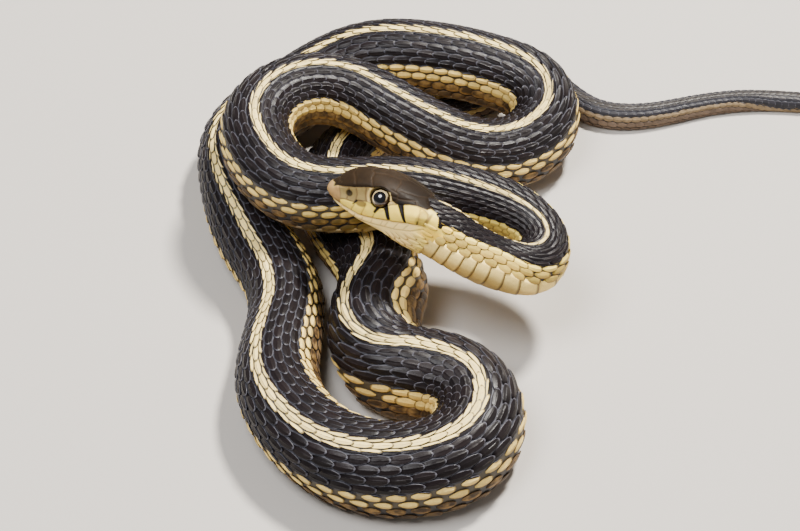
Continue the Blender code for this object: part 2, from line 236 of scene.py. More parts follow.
# %% The head's outline, eight points down its side at each station
HEAD_STATIONS = (1.8, 3.0, 5.0, 8.0, 12.0, 16.0, 19.0, 22.0, 25.0)
CROWN_MIDDLE = (2.5, 3.9, 5.4, 6.4, 6.6, 6.3, 5.9, 5.6, 5.6)
BROW_OUT = (1.9, 2.5, 3.2, 3.9, 4.6, 4.8, 4.6, 4.2, 3.8)
BROW_UP = (1.4, 2.3, 3.4, 4.5, 5.1, 4.9, 4.6, 4.5, 4.4)
CHEEK_OUT = (2.5, 3.0, 3.4, 3.9, 4.8, 6.1, 6.8, 6.6, 5.6)
CHEEK_UP = (0.4, 0.8, 1.2, 1.6, 1.9, 2.2, 2.8, 3.1, 2.8)
LIP_OUT = (2.6, 3.2, 3.8, 4.5, 5.3, 6.4, 7.1, 6.9, 5.9)
LIP_OVER_MOUTH = (0.6, 0.9, 1.3, 1.6, 1.6, 1.3, 1.1, 1.0, 1.0)
MOUTH_UP = (-1.3, -1.5, -1.9, -2.4, -2.0, -0.95, 0.2, 1.2, 0.9)
MOUTH_GROOVE = (0.3, 0.35, 0.35, 0.35, 0.35, 0.35, 0.35, 0.2, 0.0)
CHIN_OUT = (2.3, 2.8, 3.3, 4.0, 4.8, 5.8, 6.6, 6.7, 5.9)
CHIN_UNDER_MOUTH = (0.5, 0.7, 0.7, 0.75, 1.2, 1.75, 2.4, 2.9, 2.6)
JAW_OUT = (1.6, 1.9, 2.3, 2.9, 3.7, 4.5, 5.1, 5.3, 5.0)
JAW_OVER_THROAT = (0.2, 0.3, 0.4, 0.6, 0.8, 1.0, 1.1, 1.2, 1.2)
THROAT_UP = (-2.4, -2.9, -3.6, -4.5, -5.2, -5.6, -5.8, -5.7, -5.5)
OUTLINE_SPANS = 7
print("head", 2 * max(LIP_OUT), "mm wide at the lips")

# %% [markdown]
# ## Camera, floor and light
#
# The photo looks down at the snake at a steep angle, from close by with a long lens. This
# camera does the same: its height and distance were found from the shape of the loops. The
# floor is a plain pale sheet, wide enough that no edge shows. A small bright lamp behind and to
# the right makes the small glints along the scales, and a wide weak one in front fills the
# shadows.


# %% Camera
def in_scene(name, data):
    """A new object that holds the data, placed in the scene."""
    made = bpy.data.objects.new(name, data)
    bpy.context.scene.collection.objects.link(made)
    return made


CAMERA_ELEVATION = math.radians(47.0)
CAMERA_DISTANCE = 0.558
IMAGE_WIDTH = 800
SENSOR_WIDTH = 36.0
FOCAL_PIXELS = 2635.0

aim = Vector((-MIDDLE[0] * MM, -MIDDLE[1] * MM, 0.0))
towards_camera = Vector((0.0, -math.cos(CAMERA_ELEVATION), math.sin(CAMERA_ELEVATION)))
camera_data = bpy.data.cameras.new("camera")
camera_data.sensor_width = SENSOR_WIDTH
camera_data.lens = FOCAL_PIXELS * SENSOR_WIDTH / IMAGE_WIDTH
camera_data.clip_start = 0.01
camera = in_scene("camera", camera_data)
camera.location = aim + towards_camera * CAMERA_DISTANCE
camera.rotation_euler = (math.pi / 2 - CAMERA_ELEVATION, 0.0, 0.0)
bpy.context.scene.camera = camera
print("lens", round(camera_data.lens, 1), "mm at", tuple(round(v, 3) for v in camera.location))


# %% Lamps and sky
def soft_lamp(name, place, size, power, colour):
    """A round lamp that points at the snake."""
    data = bpy.data.lights.new(name, "AREA")
    data.shape = "DISK"
    data.size = size
    data.energy = power
    data.color = colour
    lamp = in_scene(name, data)
    lamp.location = place
    lamp.rotation_euler = (Vector(place) - aim).to_track_quat("Z", "Y").to_euler()


soft_lamp("lamp_behind", (0.2, 0.26, 0.68), 0.12, 19.0, (1.0, 0.96, 0.89))
soft_lamp("lamp_front", (-0.3, -0.2, 0.76), 0.42, 9.0, (0.97, 0.98, 1.0))
soft_lamp("lamp_side", (0.7, -0.3, 0.35), 0.5, 1.0, (1.0, 0.97, 0.93))

world = bpy.data.worlds.new("studio")
world.use_nodes = True
sky_light = world.node_tree.nodes["Background"].inputs
sky_light["Color"].default_value = (0.86, 0.87, 0.9, 1.0)
sky_light["Strength"].default_value = 0.22
bpy.context.scene.world = world
print("lamps", len(bpy.data.lights))

# %% Floor
FLOOR_REACH = 3.0
floor_mesh = bpy.data.meshes.new("floor")
corners = [(-FLOOR_REACH, -FLOOR_REACH, 0), (FLOOR_REACH, -FLOOR_REACH, 0)]
corners += [(FLOOR_REACH, FLOOR_REACH, 0), (-FLOOR_REACH, FLOOR_REACH, 0)]
floor_mesh.from_pydata(corners, [], [(0, 1, 2, 3)])
floor = in_scene("floor", floor_mesh)
print("floor", floor.dimensions[:])

# %% [markdown]
# ## The body's line
#
# A curve object could hold the line, but each scale needs to know where it is along the snake
# and how the back leans there, so the line is worked out in numbers. A spline runs through the
# points, it is softened a little, and stretches on the ground get their height from their own
# section, so that the belly just presses on the floor.


# %% Section and spline
def body_section(angles, width):
    """The body's section: an arched back over a flatter belly, as side and up."""
    height = width * HEIGHT_TO_WIDTH
    up_part = np.cos(angles)
    side_part = np.sin(angles)
    back = up_part > 0
    power = np.where(back, 2 / BACK_ROUNDNESS, 2 / BELLY_ROUNDNESS)
    share = np.where(back, BACK_SHARE, BACK_SHARE - 1)
    up = share * height * np.abs(up_part) ** power
    side = np.sign(side_part) * np.abs(side_part) ** power * width / 2
    return side, up


def lowest_reach(width, lean):
    """How far the leaning section reaches below its axis."""
    side, up = body_section(np.linspace(0, 2 * math.pi, 61), width)
    return -(up * math.cos(lean) - side * math.sin(lean)).min()


def natural_spline(knots, values, at):
    """Cubic spline with free ends through values at the knots, read at the places in at."""
    count = len(knots)
    step = np.diff(knots)
    system = np.eye(count)
    right = np.zeros((count, values.shape[1]))
    for i in range(1, count - 1):
        system[i, i - 1] = step[i - 1]
        system[i, i] = 2 * (step[i - 1] + step[i])
        system[i, i + 1] = step[i]
        after = (values[i + 1] - values[i]) / step[i]
        before = (values[i] - values[i - 1]) / step[i - 1]
        right[i] = 6 * (after - before)
    bend = np.linalg.solve(system, right)
    span = np.clip(np.searchsorted(knots, at) - 1, 0, count - 2)
    wide = step[span][:, None]
    ahead = (at - knots[span])[:, None]
    behind = (knots[span + 1] - at)[:, None]
    curve = (bend[span] * behind**3 + bend[span + 1] * ahead**3) / (6 * wide)
    start = (values[span] / wide - bend[span] * wide / 6) * behind
    end = (values[span + 1] / wide - bend[span + 1] * wide / 6) * ahead
    return curve + start + end


def softened(values, spread):
    """The values along the route, each averaged with its neighbours."""
    reach = int(3 * spread / ROUTE_STEP)
    weights = np.exp(-0.5 * (np.arange(-reach, reach + 1) * ROUTE_STEP / spread) ** 2)
    weights /= weights.sum()
    steps = np.arange(1, reach + 1)[:, None]
    before = values[0] - steps[::-1] * (values[1] - values[0])
    after = values[-1] + steps * (values[-1] - values[-2])
    padded = np.vstack([before, values, after])
    columns = [np.convolve(padded[:, k], weights, "valid") for k in range(values.shape[1])]
    return np.stack(columns, 1)


def evenly_spaced(line):
    """The same line with a point every ROUTE_STEP along it."""
    step = np.linalg.norm(np.diff(line[:, :3], axis=0), axis=1)
    run = np.concatenate([[0], np.cumsum(step)])
    at = np.arange(0, run[-1], ROUTE_STEP)
    return at, np.stack([np.interp(at, run, line[:, k]) for k in range(line.shape[1])], 1)


print("a 16 mm section reaches", round(float(lowest_reach(16.0, 0.0)), 2), "mm below its axis")


# %% The line and its directions
def waypoints():
    """The route's points, with a height worked out for each that lies on the ground."""
    flat = np.array([(x, y, lean) for x, y, height, lean in ROUTE])
    hop = np.linalg.norm(np.diff(flat[:, :2], axis=0), axis=1)
    run = np.concatenate([[0], np.cumsum(hop)]) * ROUTE_BULGE
    points = []
    for (x, y, height, lean), distance in zip(ROUTE, run):
        if height == GROUND:
            height = lowest_reach(width_at(distance), math.radians(lean)) - GROUND_PRESS
        points.append((x - MIDDLE[0], y - MIDDLE[1], height, lean))
    return np.array(points)


def lay_route():
    """The axis with its frames: distances, points, tailward, up and side directions."""
    points = waypoints()
    hop = np.linalg.norm(np.diff(points[:, :3], axis=0), axis=1)
    knots = np.concatenate([[0], np.cumsum(hop**0.75)])
    line = natural_spline(knots, points, np.linspace(0, knots[-1], 4000))
    run, line = evenly_spaced(line)
    line = softened(line, ROUTE_SOFTENING)
    run, line = evenly_spaced(line)
    lean = np.radians(line[:, 3])
    rest = np.array([lowest_reach(width_at(d), a) for d, a in zip(run, lean)])
    above = line[:, 2] - (rest - GROUND_PRESS)
    eased = 0.5 * (above + np.sqrt(above**2 + GROUND_EASE**2) - GROUND_EASE)
    line[:, 2] = rest - GROUND_PRESS + eased
    tailward = softened(np.gradient(line[:, :3], axis=0), FRAME_SOFTENING)
    tailward /= np.linalg.norm(tailward, axis=1)[:, None]
    sky = np.array([0, 0, 1.0])
    up = sky - (tailward @ sky)[:, None] * tailward
    up /= np.linalg.norm(up, axis=1)[:, None]
    side = np.cross(tailward, up)
    turn = lean[:, None]
    leaning_up = np.cos(turn) * up + np.sin(turn) * side
    leaning_side = np.cos(turn) * side - np.sin(turn) * up
    return run, line[:, :3], tailward, leaning_up, leaning_side


route_run, axis_points, tailward_way, upward_way, sideward_way = lay_route()
SNAKE_LENGTH = route_run[-1]
print("snout to tail's tip", round(SNAKE_LENGTH, 1), "mm")


def along_route(values, distance):
    return np.stack([np.interp(distance, route_run, values[:, k]) for k in range(3)], -1)


def place(distance, side, up):
    """Points beside and above the axis, at distances from the snout, in millimetres."""
    middle = along_route(axis_points, distance)
    across = along_route(sideward_way, distance)
    over = along_route(upward_way, distance)
    return middle + across * np.asarray(side)[..., None] + over * np.asarray(up)[..., None]


# %% [markdown]
# ## The surface that everything is laid on
#
# Head and body share one surface, so the skin has no seam between them. Its outline at any
# distance is the head's in front, the body's behind, and a mix of both over the back of the
# jaws. The surface is kept as a fine net of points. A scale asks the net for a place by two
# numbers: how far it is along the snake, and how far round it is from the middle of the back,
# where 1 is the middle of the belly.


# %% Outlines
def ease(value, low, high):
    t = np.clip((np.asarray(value, float) - low) / (high - low), 0.0, 1.0)
    return t * t * (3 - 2 * t)


def at_stations(at, values):
    """The values at places between the head's stations, on smooth curves through them."""
    places = np.array(HEAD_STATIONS)
    values = np.array(values)
    slopes = np.gradient(values, places)
    i = np.clip(np.searchsorted(places, at) - 1, 0, len(places) - 2)
    span = places[i + 1] - places[i]
    t = np.clip((at - places[i]) / span, 0.0, 1.0)
    start = values[i] * (1 + 2 * t) * (1 - t) ** 2 + slopes[i] * span * t * (1 - t) ** 2
    end = values[i + 1] * t * t * (3 - 2 * t) + slopes[i + 1] * span * t * t * (t - 1)
    return start + end


def head_corners(distance):
    """The eight points down the head's side at each distance: an array of side and up."""
    at = np.maximum(distance, SNOUT_ROUND)
    mouth = at_stations(at, MOUTH_UP)
    throat = at_stations(at, THROAT_UP)
    lip = at_stations(at, LIP_OUT)
    zero = np.zeros_like(at)
    sides = [zero, at_stations(at, BROW_OUT), at_stations(at, CHEEK_OUT), lip]
    sides += [lip - at_stations(at, MOUTH_GROOVE), at_stations(at, CHIN_OUT)]
    sides += [at_stations(at, JAW_OUT), zero]
    ups = [at_stations(at, CROWN_MIDDLE), at_stations(at, BROW_UP), at_stations(at, CHEEK_UP)]
    ups += [mouth + at_stations(at, LIP_OVER_MOUTH), mouth]
    ups += [mouth - at_stations(at, CHIN_UNDER_MOUTH)]
    ups += [throat + at_stations(at, JAW_OVER_THROAT), throat]
    return np.stack([np.stack(sides, 1), np.stack(ups, 1)], 2)


def half_outline(distance, round_at):
    """Side and up of the left half's outline: rows are distances, columns are places in
    round_at, from 0 at the middle of the back to OUTLINE_SPANS at the middle of the belly."""
    distance = np.asarray(distance, float)
    corners = head_corners(distance)
    mirror = np.array([-1.0, 1.0])
    knots = np.concatenate([corners[:, 1:2] * mirror, corners, corners[:, -2:-1] * mirror], 1)
    span = np.clip(round_at.astype(int), 0, OUTLINE_SPANS - 1)
    t = (round_at - span)[None, :, None]
    a, b, c, d = (knots[:, span + k] for k in range(4))
    bend = 2 * b + (c - a) * t + (2 * a - 5 * b + 4 * c - d) * t**2
    bend = (bend + (3 * b - a - 3 * c + d) * t**3) / 2
    angles = round_at[None, :] * math.pi / OUTLINE_SPANS
    side, up = body_section(angles, width_at(distance)[:, None])
    share = ease(distance, *HEAD_TO_BODY)[:, None, None]
    outline = bend * (1 - share) + np.stack([side, up], 2) * share
    shrink = np.minimum(distance / SNOUT_ROUND, 1.0) ** SNOUT_BLUNTNESS
    centre = np.array([0.0, CENTRE_UP])
    return (outline - centre) * shrink[:, None, None] + centre


jaw_outline = half_outline([19.0], np.arange(OUTLINE_SPANS + 1.0))[0]
print("the head's outline at the jaws", np.round(jaw_outline, 1).tolist())


# %% The net of points that scales are laid on
def outward_of(points):
    """The outward direction at each point of a net of closed rings."""
    ahead = np.gradient(points, axis=0)
    around = np.roll(points, -1, 1) - np.roll(points, 1, 1)
    outward = np.cross(ahead, around)
    outward /= np.linalg.norm(outward, axis=2, keepdims=True) + 1e-12
    if ((points - points.mean(1, keepdims=True)) * outward).sum() < 0:
        outward = -outward
    return outward


NET_START = 14.0
NET_STEP = 0.5
NET_HALF = 96
net_run = np.arange(NET_START, SNAKE_LENGTH - 0.05, NET_STEP)


def lay_net():
    """Points and outward directions at even steps along the snake and round it."""
    fine = np.linspace(0, OUTLINE_SPANS, 281)
    half = half_outline(net_run, fine)
    even = np.empty((len(net_run), NET_HALF + 1, 2))
    girth = np.empty(len(net_run))
    for row, outline in enumerate(half):
        reach = np.concatenate([[0], np.cumsum(np.linalg.norm(np.diff(outline, axis=0), axis=1))])
        wanted = np.linspace(0, reach[-1], NET_HALF + 1)
        even[row, :, 0] = np.interp(wanted, reach, outline[:, 0])
        even[row, :, 1] = np.interp(wanted, reach, outline[:, 1])
        girth[row] = reach[-1]
    side = np.concatenate([-even[:, :0:-1, 0], even[:, :-1, 0]], 1)
    up = np.concatenate([even[:, :0:-1, 1], even[:, :-1, 1]], 1)
    points = place(np.repeat(net_run[:, None], side.shape[1], 1), side, up)
    on_ground = net_run > NET_START + 20
    points[on_ground, :, 2] = np.maximum(points[on_ground, :, 2], 0.0)
    stretch = np.linalg.norm(np.gradient(points, axis=0), axis=2) / NET_STEP
    return points, outward_of(points), stretch, girth


net_points, net_outward, net_stretch, net_girth = lay_net()
print("net of", net_points.shape[:2], "points")


# %% Reading the net
def read_net(values, distance, girth):
    """Values of the net at distances along and places round (-1 to 1, and on past 1)."""
    row = np.clip((np.asarray(distance) - NET_START) / NET_STEP, 0, len(net_run) - 1.001)
    column = (np.asarray(girth) + 1.0) * NET_HALF
    i = row.astype(int)
    j = np.floor(column).astype(int)
    u = row - i
    v = column - j
    wide = values.shape[1]
    if values.ndim == 3:
        u = u[..., None]
        v = v[..., None]
    near = values[i, j % wide] * (1 - v) + values[i, (j + 1) % wide] * v
    far = values[i + 1, j % wide] * (1 - v) + values[i + 1, (j + 1) % wide] * v
    return near * (1 - u) + far * u


def on_surface(distance, girth, lift):
    """Points over the surface, in millimetres, never below the floor."""
    point = read_net(net_points, distance, girth)
    outward = read_net(net_outward, distance, girth)
    point = point + outward * np.asarray(lift)[..., None]
    point[..., 2] = np.maximum(point[..., 2], 0.0)
    return point


DEPTH_AT_MIDBODY = 0.36
MIDBODY_WIDTH = 16.0


def scale_depth(distance):
    """How deep the skin lies under the tops of the scales."""
    return DEPTH_AT_MIDBODY * (width_at(distance) / MIDBODY_WIDTH) ** 0.6


print("scales", round(float(scale_depth(400.0)), 2), "mm deep at the front loop")


# %% [markdown]
# ## The pattern that scales grow in
#
# A garter snake has nineteen rows of scales from flank to flank over the back, an odd row
# along the spine, and neighbouring rows are half a scale out of step. Towards the tail rows
# end, a pair at a time here so that the steps still fit. The rows of the back stripe are
# narrow, and the lowest rows are broad. One count runs along the snake: scale number n of a row
# starts where the count reaches n, and the belly plates keep the same count.

# %% Rows and count
ROWS_A_SIDE = 9
NECK_ROW_SHARES = (0.8, 0.7, 0.95, 0.95, 0.95, 0.95, 0.95, 1.25, 1.3, 1.3)
BODY_ROW_SHARES = (0.8, 0.75, 1.1, 1.1, 1.1, 1.1, 1.1, 1.2, 1.35, 1.6)
NECK_TO_BODY = (60.0, 125.0)
ROW_ENDS = {
    4: (508, 522), 5: (508, 522),
    2: (552, 566), 3: (552, 566),
    8: (604, 618), 9: (604, 618),
}
NECK_BELLY_EDGE = 0.56
BELLY_EDGE = 0.69
TAIL_BELLY_EDGE = 0.78
TAIL_START = 512.0


def row_shares(distance):
    """How wide each row is, from the spine's row to the lowest, beside the other rows."""
    blend = ease(distance, *NECK_TO_BODY)[..., None]
    shares = np.array(NECK_ROW_SHARES) * (1 - blend) + np.array(BODY_ROW_SHARES) * blend
    for row, (start, end) in ROW_ENDS.items():
        shares[..., row] *= 1 - ease(distance, start, end)
    return shares


def belly_edge(distance):
    body = ease(distance, *NECK_TO_BODY)
    tail = ease(distance, TAIL_START - 15, TAIL_START + 15)
    edge = NECK_BELLY_EDGE + (BELLY_EDGE - NECK_BELLY_EDGE) * body
    return edge + (TAIL_BELLY_EDGE - BELLY_EDGE) * tail


def row_places(distance):
    """Middle and half width of each row, round the body, and each row's share of full width."""
    shares = row_shares(distance)
    lower = np.cumsum(shares, -1) - shares[..., :1] / 2
    whole = lower[..., -1:]
    edge = belly_edge(distance)[..., None]
    middles = (lower - shares / 2) / whole * edge
    middles[..., 0] = 0.0
    return middles, shares / whole * edge / 2, shares


def scale_pitch(distance):
    """Length along the body that one scale of a row takes up."""
    trunk = 1.95 + 0.086 * width_at(distance)
    nape = 0.7 + 0.28 * ease(distance, 23, 38)
    return trunk * nape * (1 - 0.34 * ease(distance, 505, 620))


COUNT_START = 15.0
COUNT_STEP = 0.25
count_run = np.arange(COUNT_START, SNAKE_LENGTH, COUNT_STEP)
count_middles = count_run[:-1] + COUNT_STEP / 2
count_at = np.concatenate([[0], np.cumsum(COUNT_STEP / scale_pitch(count_middles))])


def distance_of(count):
    return np.interp(count, count_at, count_run)


LAST_COUNT = count_at[-1]
print("scales in the spine's row", int(LAST_COUNT))


# %% [markdown]
# The stripes follow the rows of scales, so every point also has to know which row it lies in.
# That is the other way round from before: from a place round the body to a count of rows.

# %% Which row a place belongs to
def row_number(distance, girth):
    """The place round the body counted in rows: 0 on the spine, 9.5 at the belly's edge."""
    middles, halves, shares = row_places(distance)
    edges = np.concatenate([middles[..., :1], middles + halves], -1)
    numbers = np.concatenate([[0.0], np.arange(ROWS_A_SIDE + 1) + 0.5])
    flat_edges = edges.reshape(-1, edges.shape[-1])
    flat_girth = np.abs(np.asarray(girth)).reshape(-1)
    belly = flat_girth > flat_edges[:, -1]
    out = np.empty(len(flat_girth))
    for index, (row_edges, at) in enumerate(zip(flat_edges, flat_girth)):
        out[index] = np.interp(at, row_edges, numbers)
    over = (flat_girth - flat_edges[:, -1]) / (1 - flat_edges[:, -1])
    out[belly] = (numbers[-1] + 2.5 * over)[belly]
    return out.reshape(np.asarray(girth).shape)


halfway = row_number(np.array([400.0]), np.array([0.5]))
print("halfway down the front loop's side is row", round(float(halfway[0]), 1))


# %% [markdown]
# ## One scale
#
# A scale is a thin leaf: narrow where it is rooted, broad in its middle and blunt behind, with
# a domed top and a fine keel down its length. Blender could copy one model along curves, but
# copied things can't bend with the body. So each scale here is stamped as numbers: a small
# net of points whose places are read from the body's surface. It bends with the body, spreads
# on the outside of a curve and packs together on the inside, as real ones do. Each is a
# closed little solid with a rim and an underside.


# %% A net for one scale
def leaf_net(across, along, skirt=0.93):
    """A closed leaf as a net of points: u across from -1 to 1, v along from root to tip."""
    wide = len(across)
    long = len(along)
    u = np.tile(across, long)
    v = np.repeat(along, wide)
    top = [(j * wide + i, j * wide + i + 1, (j + 1) * wide + i + 1, (j + 1) * wide + i)
           for j in range(long - 1) for i in range(wide - 1)]
    border = list(range(wide))
    border += [j * wide + wide - 1 for j in range(1, long)]
    border += [(long - 1) * wide + i for i in range(wide - 2, -1, -1)]
    border += [j * wide for j in range(long - 2, 0, -1)]
    count = len(u)
    under = {edge: count + k for k, edge in enumerate(border)}
    middle_v = (np.array(along).max() + np.array(along).min()) / 2
    below_u = [u[edge] * skirt for edge in border]
    below_v = [middle_v + (v[edge] - middle_v) * skirt for edge in border]
    along_border = list(zip(border, border[1:] + border[:1]))
    rim = [(a, under[a], under[b], b) for a, b in along_border]
    floor_face = [tuple(under[a] for a in border)]
    faces = [face[::-1] for face in top] + [face[::-1] for face in rim] + floor_face
    sides = [pair for face in faces for pair in zip(face, face[1:] + face[:1])]
    edges = sorted({tuple(sorted(pair)) for pair in sides})
    kinds = [0] * len(top) + [1] * len(rim) + [2]
    rim_pairs = {tuple(sorted(pair)) for pair in along_border}
    rim_pairs |= {tuple(sorted((under[a], under[b]))) for a, b in rim_pairs}
    return {
        "u": np.concatenate([u, below_u]),
        "v": np.concatenate([v, below_v]),
        "under": np.concatenate([np.zeros(count), np.ones(len(border))]),
        "faces": faces,
        "kinds": kinds,
        "edges": edges,
        "sharp": np.array([pair in rim_pairs for pair in edges]),
    }


BACK_LEAF = leaf_net(
    across=(-1.0, -0.78, -0.42, -0.13, 0.0, 0.13, 0.42, 0.78, 1.0),
    along=(0.0, 0.22, 0.42, 0.6, 0.76, 0.88, 0.96, 1.0),
)
PLATE_LEAF = leaf_net(across=np.linspace(-1, 1, 19), along=(0.0, 0.35, 0.7, 0.93, 1.0))
print("points in one scale", len(BACK_LEAF["u"]), "and in one belly plate", len(PLATE_LEAF["u"]))


# %% [markdown]
# A material can't tell one scale from the next, so each mesh carries numbers at its points:
# where the point is along the snake, its row, how near the scale's rim it is. Each leaf also
# gets its own small patch of an unwrap, so that its paint can be baked into pictures later.

# %% Numbers and unwraps that a mesh carries
def keep_numbers(mesh, values):
    """Keep named numbers on a mesh, one for each point, for the materials to read."""
    for key, value in values.items():
        made = mesh.attributes.new(key, "FLOAT", "POINT")
        made.data.foreach_set("value", value.astype(np.float32).ravel())


PATCH = 0.003
TOP_SPREAD = 0.86
RIM_SPREAD = 1.12
UNDERSIDE_SIZE = 0.6
UNWRAP_MARGIN = 0.03
UNWRAP_SPAN = 0.93
PIECE_OVERHANG = 5.0


def on_unwrap(value, low, high):
    """A place from low to high, as a coordinate on the skin's own unwrap."""
    return UNWRAP_MARGIN + UNWRAP_SPAN * (value - low) / (high - low)


def leaf_patch(leaf):
    """The small patch of the unwrap that one leaf takes, corner by corner of its faces."""
    corner_of = np.array([c for face in leaf["faces"] for c in face])
    corner_kind = np.repeat(leaf["kinds"], [len(face) for face in leaf["faces"]])
    spread = np.where(leaf["under"] > 0, RIM_SPREAD, TOP_SPREAD)
    patch = np.stack([leaf["u"] * spread / 2, (leaf["v"] - 0.5) * spread], 1)[corner_of] * PATCH
    underside = corner_kind == 2
    patch[underside] = patch[underside] * UNDERSIDE_SIZE + (2.0 * PATCH, 0.0)
    return patch


print("a leaf's patch is", PATCH, "across")


# %% [markdown]
# Thousands of single objects would be slow, and a loop that adds one face at a time is slow
# too. So all the leaves of a piece are written into one mesh at once, as long lists of numbers.

# %% Stamping many leaves into one mesh
def stamp(name, leaf, points, patch_places, values):
    """One mesh of many leaves. points: leaf by point, in millimetres. patch_places: where
    each leaf's root lies on the skin's unwrap. values: named numbers, one for each point."""
    count, size = points.shape[:2]
    corner_of = np.array([c for face in leaf["faces"] for c in face])
    face_size = np.array([len(face) for face in leaf["faces"]])
    shift = np.arange(count)[:, None] * size
    mesh = bpy.data.meshes.new(name)
    mesh.vertices.add(count * size)
    mesh.vertices.foreach_set("co", (points * MM).astype(np.float32).ravel())
    edges = np.array(leaf["edges"])
    mesh.edges.add(count * len(edges))
    mesh.edges.foreach_set("vertices", (edges.ravel()[None] + shift).astype(np.int32).ravel())
    mesh.loops.add(count * len(corner_of))
    mesh.loops.foreach_set("vertex_index", (corner_of[None] + shift).astype(np.int32).ravel())
    starts = np.concatenate([[0], np.cumsum(face_size)[:-1]])
    mesh.polygons.add(count * len(face_size))
    all_starts = starts[None] + np.arange(count)[:, None] * len(corner_of)
    mesh.polygons.foreach_set("loop_start", all_starts.astype(np.int32).ravel())
    mesh.polygons.foreach_set("loop_total", np.tile(face_size, count).astype(np.int32))
    mesh.update(calc_edges=True)
    mesh.validate()
    mesh.shade_smooth()
    sharp = mesh.attributes.new("sharp_edge", "BOOLEAN", "EDGE")
    if len(mesh.edges) == count * len(edges):
        sharp.data.foreach_set("value", np.tile(leaf["sharp"], count))
    layer = mesh.uv_layers.new(name="OFBake")
    spots = leaf_patch(leaf)[None] + patch_places[:, None, :]
    layer.data.foreach_set("uv", spots.astype(np.float32).ravel())
    keep_numbers(mesh, values)
    return in_scene(name, mesh)


print("a stamped scale has", len(BACK_LEAF["faces"]), "faces")

# %% [markdown]
# ## The scales of the back and flanks
#
# Every scale's place is one row and one count. The tops rise from the skin at the root to the
# full depth at the tip, so each scale lies over the ones behind it like a roof tile. On the
# outside of a bend a scale keeps its own length and the dark skin shows between; on the
# inside it slides under its neighbour. The flank's scales are rounder and lie apart.

# %% Shape of one scale
SCALES_BEGIN = (19.4, 19.3, 19.2, 19.4, 20.2, 21.2, 22.3, 23.4, 23.7, 24.0)
SCALE_LENGTH = 1.34
FLANK_LENGTH = 1.06
NECK_FLANK_EXTRA = 0.1
SCALE_SPREAD = 1.03
STRIPE_SPREAD = 0.96
FLANK_SPREAD = 0.93
NECK_FLANK_SPREAD = 0.32
FIRST_FLANK_ROW = 6


def leaf_half_width(v, root_width, bluntness):
    """Half width of a scale along its length: broad in the middle and blunt behind."""
    root = root_width + (1 - root_width) * np.sin(np.clip(v / 0.52, 0, 1) * math.pi / 2) ** 0.8
    tip = (1 - np.clip((v - 0.5) / 0.505, 0, 1) ** bluntness) ** (1 / bluntness)
    return root * np.maximum(tip, 0.1)


def flank_share(root, row):
    """1 for the rounder scales low on the body's side, less for them on the tail."""
    return (row >= FIRST_FLANK_ROW) * (1 - 0.7 * ease(root, TAIL_START, TAIL_START + 60))


def scale_lengths(root, flank, stretch):
    """Lengths in counts: a scale keeps its own length where the skin round it is stretched."""
    neck = 1 - ease(root, 60, 95)
    nominal = SCALE_LENGTH * (1 - flank) + (FLANK_LENGTH + NECK_FLANK_EXTRA * neck) * flank
    return nominal, np.clip(stretch, 0.75, 1.5) ** (-0.55 - 0.3 * flank)


def scale_spreads(root, row, flank, stretch):
    """Widths beside the row's own, a little more on the inside of a bend."""
    neck = 1 - ease(root, 60, 95)
    packed = np.clip(1.0 - stretch, 0.0, 0.4)
    flank_spread = FLANK_SPREAD + 0.7 * packed + NECK_FLANK_SPREAD * neck
    back_spread = np.where(row < 2, STRIPE_SPREAD, SCALE_SPREAD) + 0.5 * packed
    return back_spread * (1 - flank) + flank_spread * flank


print("scales begin", min(SCALES_BEGIN), "to", max(SCALES_BEGIN), "mm behind the snout")

# %% Height of one scale
ROOT_DEPTH = 0.92
DOME_HEIGHT = 0.3
TIP_DROP = 0.16
KEEL_HEIGHT = 0.28
KEEL_HALF_WIDTH = 0.09
SCALE_THICKNESS = 0.55
UNEVENNESS = 0.03


def scale_lifts(row):
    """Heights of the scales' points over the skin's tops, as shares of the scales' depth."""
    u, v, under = BACK_LEAF["u"], BACK_LEAF["v"], BACK_LEAF["under"]
    rise = -ROOT_DEPTH + ROOT_DEPTH * np.clip(v, 0, 1) ** 0.85
    dome = DOME_HEIGHT * (1 - u**2) * np.sin(np.clip(v * 1.02, 0, 1) * math.pi) ** 0.6
    drop = -TIP_DROP * ease(v, 0.9, 1.0)
    keeled = np.where(row >= 9, 0.15, np.where(row == 8, 0.4, 1.0))[:, None]
    ridge = KEEL_HEIGHT * np.exp(-((u / KEEL_HALF_WIDTH) ** 2))
    ridge = ridge * ease(v, 0.1, 0.4) * (1 - ease(v, 0.93, 1.0))
    lift = (rise + dome + drop)[None] + keeled * ridge[None]
    lift = lift + draws.normal(0, UNEVENNESS, len(row))[:, None]
    return lift - under[None] * SCALE_THICKNESS


print("keel", round(KEEL_HEIGHT * float(scale_depth(400.0)), 2), "mm high at the front loop")


# %% Placing the scales
ROW_GONE = 0.3
TIP_LEFT_BARE = 1.2


def back_scales(first, last):
    """Counts, rows and sides of the scales whose roots lie between two distances."""
    places = []
    for row in range(ROWS_A_SIDE + 1):
        for side in (1,) if row == 0 else (1, -1):
            counts = np.arange(0, LAST_COUNT) + 0.5 * (row % 2)
            at = distance_of(counts)
            shares = row_places(at)[2]
            start = max(first, SCALES_BEGIN[row])
            keep = (at >= start) & (at < last) & (shares[:, row] > ROW_GONE)
            keep &= counts < LAST_COUNT - TIP_LEFT_BARE
            for count in counts[keep]:
                places.append((count, row, side))
    return np.array(places)


print("scales on the neck", len(back_scales(15.0, 130.0)))


